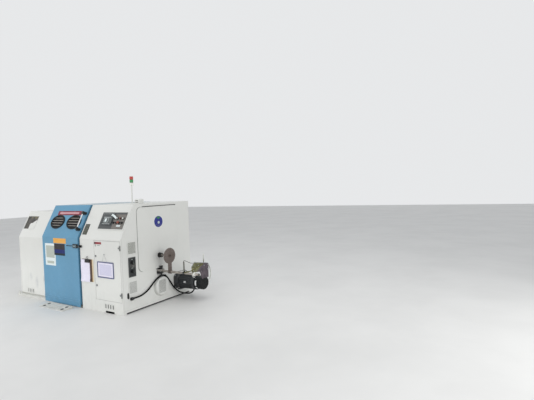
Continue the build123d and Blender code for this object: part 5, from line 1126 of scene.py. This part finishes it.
def makeRamp():
    s = {"left": -0.305, "right": 0.319, "front": -0.9855, "rear": -0.8055, "rise": 0.025, "middleZ": 0.0175,
         "clear": 0.034}
    lean = math.atan2(s["rise"], s["rear"] - s["front"])
    middle = place(((s["left"] + s["right"]) / 2, (s["front"] + s["rear"]) / 2, s["middleZ"]), xWay,
                   (0, math.cos(lean), math.sin(lean)))
    holes = [(x, up) for x in (-0.237, 0.237) for up in (-0.045, 0.034)]  # lifting holes
    treads = Shape()
    for row, up in enumerate(spread(-0.075, 0.075, 9)):
        for x in spread(-0.285, 0.285, 24):
            if any(math.hypot(x - a, up - b) < s["clear"] for a, b in holes):
                continue
            angle = math.radians(45 if (row + round(x * 100)) % 2 else -45)
            at = spun(moved(middle, x + (0.006 if row % 2 else -0.006), up), angle)
            treads.pad(at, 0.017, 0.0035, 0.0012, 0.0017, 0.0005)
    treads.make("rampTreads", "ramp", "ramp_steel")
    for name, finish, profile in (
            ("rampHoleRims", "ramp", [(0.029, 0), (0.0285, 0.0018), (0.0265, 0.0024), (0.0248, 0.0012)]),
            # painted shade: dark dishes inside the lifting holes
            ("rampHoleShade", "seal", [(0.0255, 0.0004), (0.025, 0.0016), (0.02, 0.0013), (0.0001, 0.0012)])):
        Shape().turned(middle, profile, 36, spots=holes).make(name, finish, "ramp_steel")
    ends = [(s["left"] + 0.004, 0), (s["right"] - 0.004, 0)]
    Shape().tube(onFront(0, 0.006, -0.002, s["front"]), ends, 0.0018, 8).make("rampLip", "brightBar", "ramp_steel")


# Sliding cover


def makeCoverFront():
    s = {"infoX": -0.061, "infoZ": 0.895, "whiteX": -0.321, "thin": 0.0019, "ridgeUp": 0.5665}
    body, left, right = "sliding_cover", cover["leftX"], cover["rightX"]
    pads(body, [
        ("coverRedStrip", "redPrint", "blue_paint", onCoverSlope(-0.034, 0.4225), 0.645, 0.076, 0.0014, 0.012, 0.0004),
        ("coverPaleStrip", "pinkPrint", "blue_paint", onCoverSlope(-0.044, 0.4225, 0.0013), 0.52, 0.031, 0.0006,
         0.003, 0.0002),
        ("coverOrangeLabel", "orangePrint", "blue_paint", onCover(-0.052, 1.0375), 0.34, 0.081, 0.0012, 0.003, 0.0003),
        ("coverWhiteLabel", "whitePrint", "blue_paint", onCover(s["whiteX"], 0.8045), 0.288, 0.363, 0.0012,
         0.004, 0.0003)])
    info = Shape().pad(onCover(s["infoX"], s["infoZ"]), 0.288, 0.19, 0.0014, 0.003, 0.0004)
    rivet = [(0.0035, 0), (0.0035, 0.001), (0.002, 0.0018)]
    info.turned(onCover(s["infoX"], s["infoZ"], 0.0013), rivet, 14, spots=corners(0.134, 0.085))
    info.make("coverInfoPlate", "infoPlate", "blue_paint", body)
    fields = Shape().pad(onCover(s["whiteX"], 0.85, 0.0011), 0.232, 0.2, 0.0004, 0.004, 0.0002)
    fields.pad(onCover(s["whiteX"], 0.675, 0.0011), 0.19, 0.04, 0.0004, 0.003, 0.0002)
    fields.make("coverLabelFields", "fieldPrint", "blue_paint", body)
    front, ridge = cover["frontY"] + 0.002, onCoverSlope(0, s["ridgeUp"]).translation
    edging, hem = Shape(), Shape()  # rubber edging along the cover's edges, and pale lines along its foot as painted highlights on its hem folds
    for x in (left + 0.002, right - 0.002):
        line = [(x, front, 0.014), (x, front, cover["bendZ"] - 0.004), (x, ridge.y + 0.003, ridge.z - 0.003),
                (x, cover["backY"] - 0.002, cover["topZ"] - 0.003)]
        edging.tube(world, line, s["thin"], flat=xWay)
    edging.make("coverEdging", "seal", "cable_rubber", body)
    for z in (0.1235, 0.0905):
        hem.tube(onCover(0, z, s["thin"]), [(left + 0.006, 0), (right - 0.006, 0)], 0.0012, flat=yWay)
    hem.make("coverHemHighlights", "hemHighlightBlue", "blue_paint", body)


def makePortholes():
    s = {"middles": (-0.262, 0.173), "up": 0.264, "halfX": 0.152, "halfUp": 0.094, "slat": 0.0064}
    slats, screws, seals = Shape(), Shape(), Shape()
    ring, inner = oval(0.1815, 64, high=0.1235), oval(0.1785, 64, high=0.1205)
    for x in s["middles"]:
        at = onCoverSlope(x, s["up"])
        for up in (-0.066, -0.022, 0.022, 0.066):
            low, high = up - s["slat"], up + s["slat"]
            wide, narrow = (s["halfX"] * math.sqrt(max(0.01, 1 - (level / s["halfUp"]) ** 2)) for level in (low, high))
            outline = [(-wide, low), (wide, low), (narrow, high), (-narrow, high)]
            slats.layers(at, [(outline, 0.0062), (outline, 0.0078)])
            reach = min(wide, narrow) - 0.012
            screws.capScrews(lifted(at, 0.0078), 0.003, [(-reach, up), (reach, up)])
        seals.layers(at, [(ring, 0), (ring, 0.002), (inner, 0.003), (inner, 0)], True)
        screws.capScrews(lifted(at, 0.012), 0.0035, oval(0.166, 10, math.pi / 10, 0.108))
    slats.make("portholeSlats", "slat", "black_plastic", "sliding_cover")
    screws.make("portholeScrews", "blackened", "black_plastic", "sliding_cover")
    seals.make("portholeSeals", "seal", "black_plastic", "sliding_cover")


def makeHandle():
    x = cover["rightX"] - 0.03
    bolts, sleeves = Shape(), Shape()
    for up in (0.137, 0.411):
        bolts.capScrews(onCoverSlope(x, up, 0.073), 0.0065)
        bolts.capScrews(onCoverSlope(x, up, 0.01), 0.0045, [(-0.064, 0), (-0.036, 0)])
    profile = [(0.0095, 0.0), (0.0125, 0.0), (0.0125, 0.007), (0.0105, 0.01), (0.0095, 0.01)]
    for up, sign in ((0.156, 1), (0.392, -1)):
        at = onCoverSlope(x, up, 0.055)
        ring = place(at.translation, at.col[0].to_3d(), at.col[2].to_3d() * -sign)
        sleeves.turned(ring, profile, 28, True)
    bolts.make("handleBolts", "zinc", "bar_metal", "sliding_cover")
    sleeves.make("handleSleeves", "blackPlastic", "black_plastic", "sliding_cover")


def makeLock():
    s = {"x": 0.363, "z": 0.97, "plate": 0.0012}
    face = onCover(s["x"], s["z"], 0.018)
    plate = Shape().pad(face, 0.092, 0.04, s["plate"], 0.004, 0.0004)
    plate.make("lockPlate", "lockGrey", "black_plastic", "sliding_cover")
    screws = Shape().capScrews(lifted(face, s["plate"]), 0.0035, corners(0.038, 0.012))
    screws.turned(lifted(face, s["plate"]), [(0.011, 0), (0.011, 0.003), (0.009, 0.0045)], 26)
    screws.make("lockScrews", "zinc", "bar_metal", "sliding_cover")
    profile = [(0.0053, -0.026), (0.0072, -0.026), (0.008, -0.018), (0.008, 0.0), (0.0053, 0.0)]
    sleeve = Shape().turned(place((0.303, -0.7575, s["z"]), (0, -1, 0), zWay), profile, 26, True)
    sleeve.make("leverSleeve", "lockGrey", "black_plastic", "sliding_cover")
    keeper = Shape().capScrews(onFront(0.484, s["z"], 0.044), 0.0035, [(-0.008, 0), (0.008, 0)])
    keeper.make("keeperScrews", "zinc", "bar_metal")


def makeCoverInside():
    ribs, caps = Shape(), Shape()  # hat-section stiffeners inside the cover, and caps on its rollers
    for x in (-0.215, 0.105):
        at = onFront(x, 0.8, 0.004, cover["backY"])
        ribs.pad(at, 0.05, 1.45, 0.0012, 0.002, 0.0004).pad(at, 0.026, 1.45, 0.006, 0.002, 0.001)
    ribs.make("coverBackRibs", "blue", "blue_paint", "sliding_cover")
    for x in (cover["leftX"] + 0.09, cover["rightX"] - 0.09):
        for side in (-1, 1):
            at = place((x, side * -0.718, 0.0543), (side, 0, 0), zWay)
            caps.turned(at, [(0.01, 0), (0.01, 0.0012), (0.008, 0.002)], 20)
    caps.make("rollerCaps", "zinc", "roller_plastic", "sliding_cover")


# Rotor, cradle, bobbin and traverse in the bay


def acrossBay(x, side):  # a place on the rotor's axis that faces left or right
    return place((x, 0, axisZ), (0, side, 0), zWay)


def makeRotor(s):
    bolts, bearings, eyes, wire = Shape(), Shape(), Shape(), Shape()
    for side in (-1, 1):
        bolts.hexBolts(acrossBay(s["middle"] + side * 0.43, side), 0.007, oval(0.095, 12))
        inner = acrossBay(s["middle"] + side * 0.4, -side)
        bolts.hexBolts(inner, 0.006, oval(0.155, 12, math.pi / 12))
        bolts.hexBolts(inner, 0.005, [(y, up) for up in (-0.315, 0.315) for y in (-0.02, 0.02)])
    bolts.make("discBolts", "zinc", "rotor_steel")
    bearing = [(0.0605, 0), (0.105, 0), (0.105, 0.016), (0.085, 0.022), (0.0605, 0.022)]
    for side, wall in ((-1, bayX), (1, cabinetX)):
        face = acrossBay(wall, -side)
        bearings.turned(face, bearing, 48, True).hexBolts(lifted(face, 0.016), 0.006, oval(0.095, 8))
    bearings.make("bearingRings", "cradle", "rotor_steel")
    sag = s["bowFar"] - s["bowRim"]
    radius = (s["bowHalf"] ** 2 + sag ** 2) / (2 * sag)
    eye = [(0.003, -0.004), (0.0075, -0.004), (0.009, -0.002), (0.009, 0.002), (0.0075, 0.004), (0.003, 0.004)]
    for sign in (1, -1):
        run = []  # the inner side of a bow
        for x in spread(-0.96 * s["bowHalf"], 0.96 * s["bowHalf"], 40):
            height = s["bowFar"] - radius + math.sqrt(radius ** 2 - x ** 2) - s["bowInset"]
            run.append(Vector((s["middle"] + x, 0, axisZ + sign * height)))
        if sign > 0:
            wire.tube(world, run, 0.0011, 8)
        for i in range(1, 39, 4):
            ahead = (run[i + 1] - run[i - 1]).normalized()
            eyes.turned(place(run[i], yWay, ahead.cross(Vector(yWay))), eye, 18, True)
    eyes.make("bowEyes", "ceramic", "bow_steel")
    wire.make("bowWire", "copper", "bow_steel")


def makeBobbin(s):
    half, core = s["woundHalf"], s["core"]
    profile = [(core, -half)]  # bunched wire in layers on the bobbin's barrel
    for i, x in enumerate(spread(-half, half, 190)):
        profile.append((0.25 + 0.004 * math.sin(x * 26) + (0.0016 if i % 2 else 0), x))
    Shape().turned(acrossBay(s["middle"], 1), [*profile, (core, half)], 72, True).make(
        "woundWire", "copper", "bobbin_paint", angle=80)
    rims, rivets, bolts = Shape(), Shape(), Shape()
    for side in (-1, 1):
        outer = acrossBay(s["middle"] + side * 0.2375, side)
        rims.turned(outer, [(0.29, 0), (0.2925, 0.0018), (0.3035, 0.0018), (0.306, 0)], 72, True)
        rims.turned(outer, [(0.0285, 0), (0.0285, 0.004), (0.052, 0.004), (0.056, 0)], 40, True)
        rivets.turned(outer, [(0.012, 0), (0.012, 0.003), (0.009, 0.004)], 18, spots=oval(0.12, 6))
        face = acrossBay(s["middle"] + side * 0.2875, side)
        bolts.hexBolts(face, 0.006, oval(0.092, 8, math.pi / 8))
        bolts.hexBolts(face, 0.007, [(y, 0.095 + z) for y, z in corners(0.33, 0.02)])
    rims.make("bobbinRims", "bobbin", "bobbin_paint")
    rivets.make("bobbinRivets", "steel", "bobbin_paint")
    bolts.make("cradleBolts", "zinc", "cradle_paint")


def makeBay():
    s = {"middle": -0.0255, "bowHalf": 0.4, "bowRim": 0.34, "bowFar": 0.6, "bowInset": 0.017, "woundHalf": 0.2134,
         "core": 0.1602, "thread": 0.0088, "twist": 420, "screwY": -0.345, "screwZ": 0.786, "seamX": 0.4485}
    makeRotor(s)
    makeBobbin(s)
    thread, radius, screw = Shape(), s["thread"], onTop(0, s["screwY"], s["screwZ"])
    for first, last, count in ((-0.255, -0.1, 260), (-0.02, 0.255, 460)):  # on both sides of the carriage
        line = [(x, radius * math.cos(x * s["twist"]), radius * math.sin(x * s["twist"]))
                for x in spread(s["middle"] + first, s["middle"] + last, count)]
        thread.tube(screw, line, 0.0014, 6)
    thread.make("screwThread", "steel", "cradle_paint")
    front = onFront(-0.0855, 0.826, 0, -0.412)
    carriage = Shape().capScrews(front, 0.005, corners(0.024, 0.055)).pad(front, 0.04, 0.07, 0.003, 0.004, 0.001)
    carriage.make("carriageFittings", "zinc", "cradle_paint")
    bolts = Shape().hexBolts(onTop(0, 0, baseZ), 0.007, [(x, y) for x in spread(-0.46, 0.41, 4) for y in (-0.62, 0.62)])
    bolts.make("bayFloorBolts", "zinc", "base_paint")
    x, knee, ridge = s["seamX"], (frontY + 0.05, 1.055), (frontY + 0.05 + 0.425 / math.tan(slopeAngle), 1.545)
    edge = Shape().tube(world, [(x, knee[0], 0.06), (x, *knee), (x, *ridge), (x, 0.66, ridge[1])], (0.0055, 0.012),
                        flat=xWay)  # black strip on the cabinet's side, behind the seam, as painted shade in the gap
    edge.make("seamShadeStrip", "seal", "cable_rubber")


for group, makers in (
        ("housings", (makeLeftHousing, makeCabinetFront, makeDoor, makeCompartment, makeControlPanel, makeEndFace)),
        ("motor and rail", (makeRoundCover, makeMotor, makeCableEnds, makeRailFittings)),
        ("roof, back and base", (makeRoof, makeBack, makeLeftEnd, makeRamp)),
        ("cover", (makeCoverFront, makePortholes, makeHandle, makeLock, makeCoverInside)),
        ("bay", (makeBay,))):
    for maker in makers:
        maker()
    print(group, "dressed")

print("all pieces made")
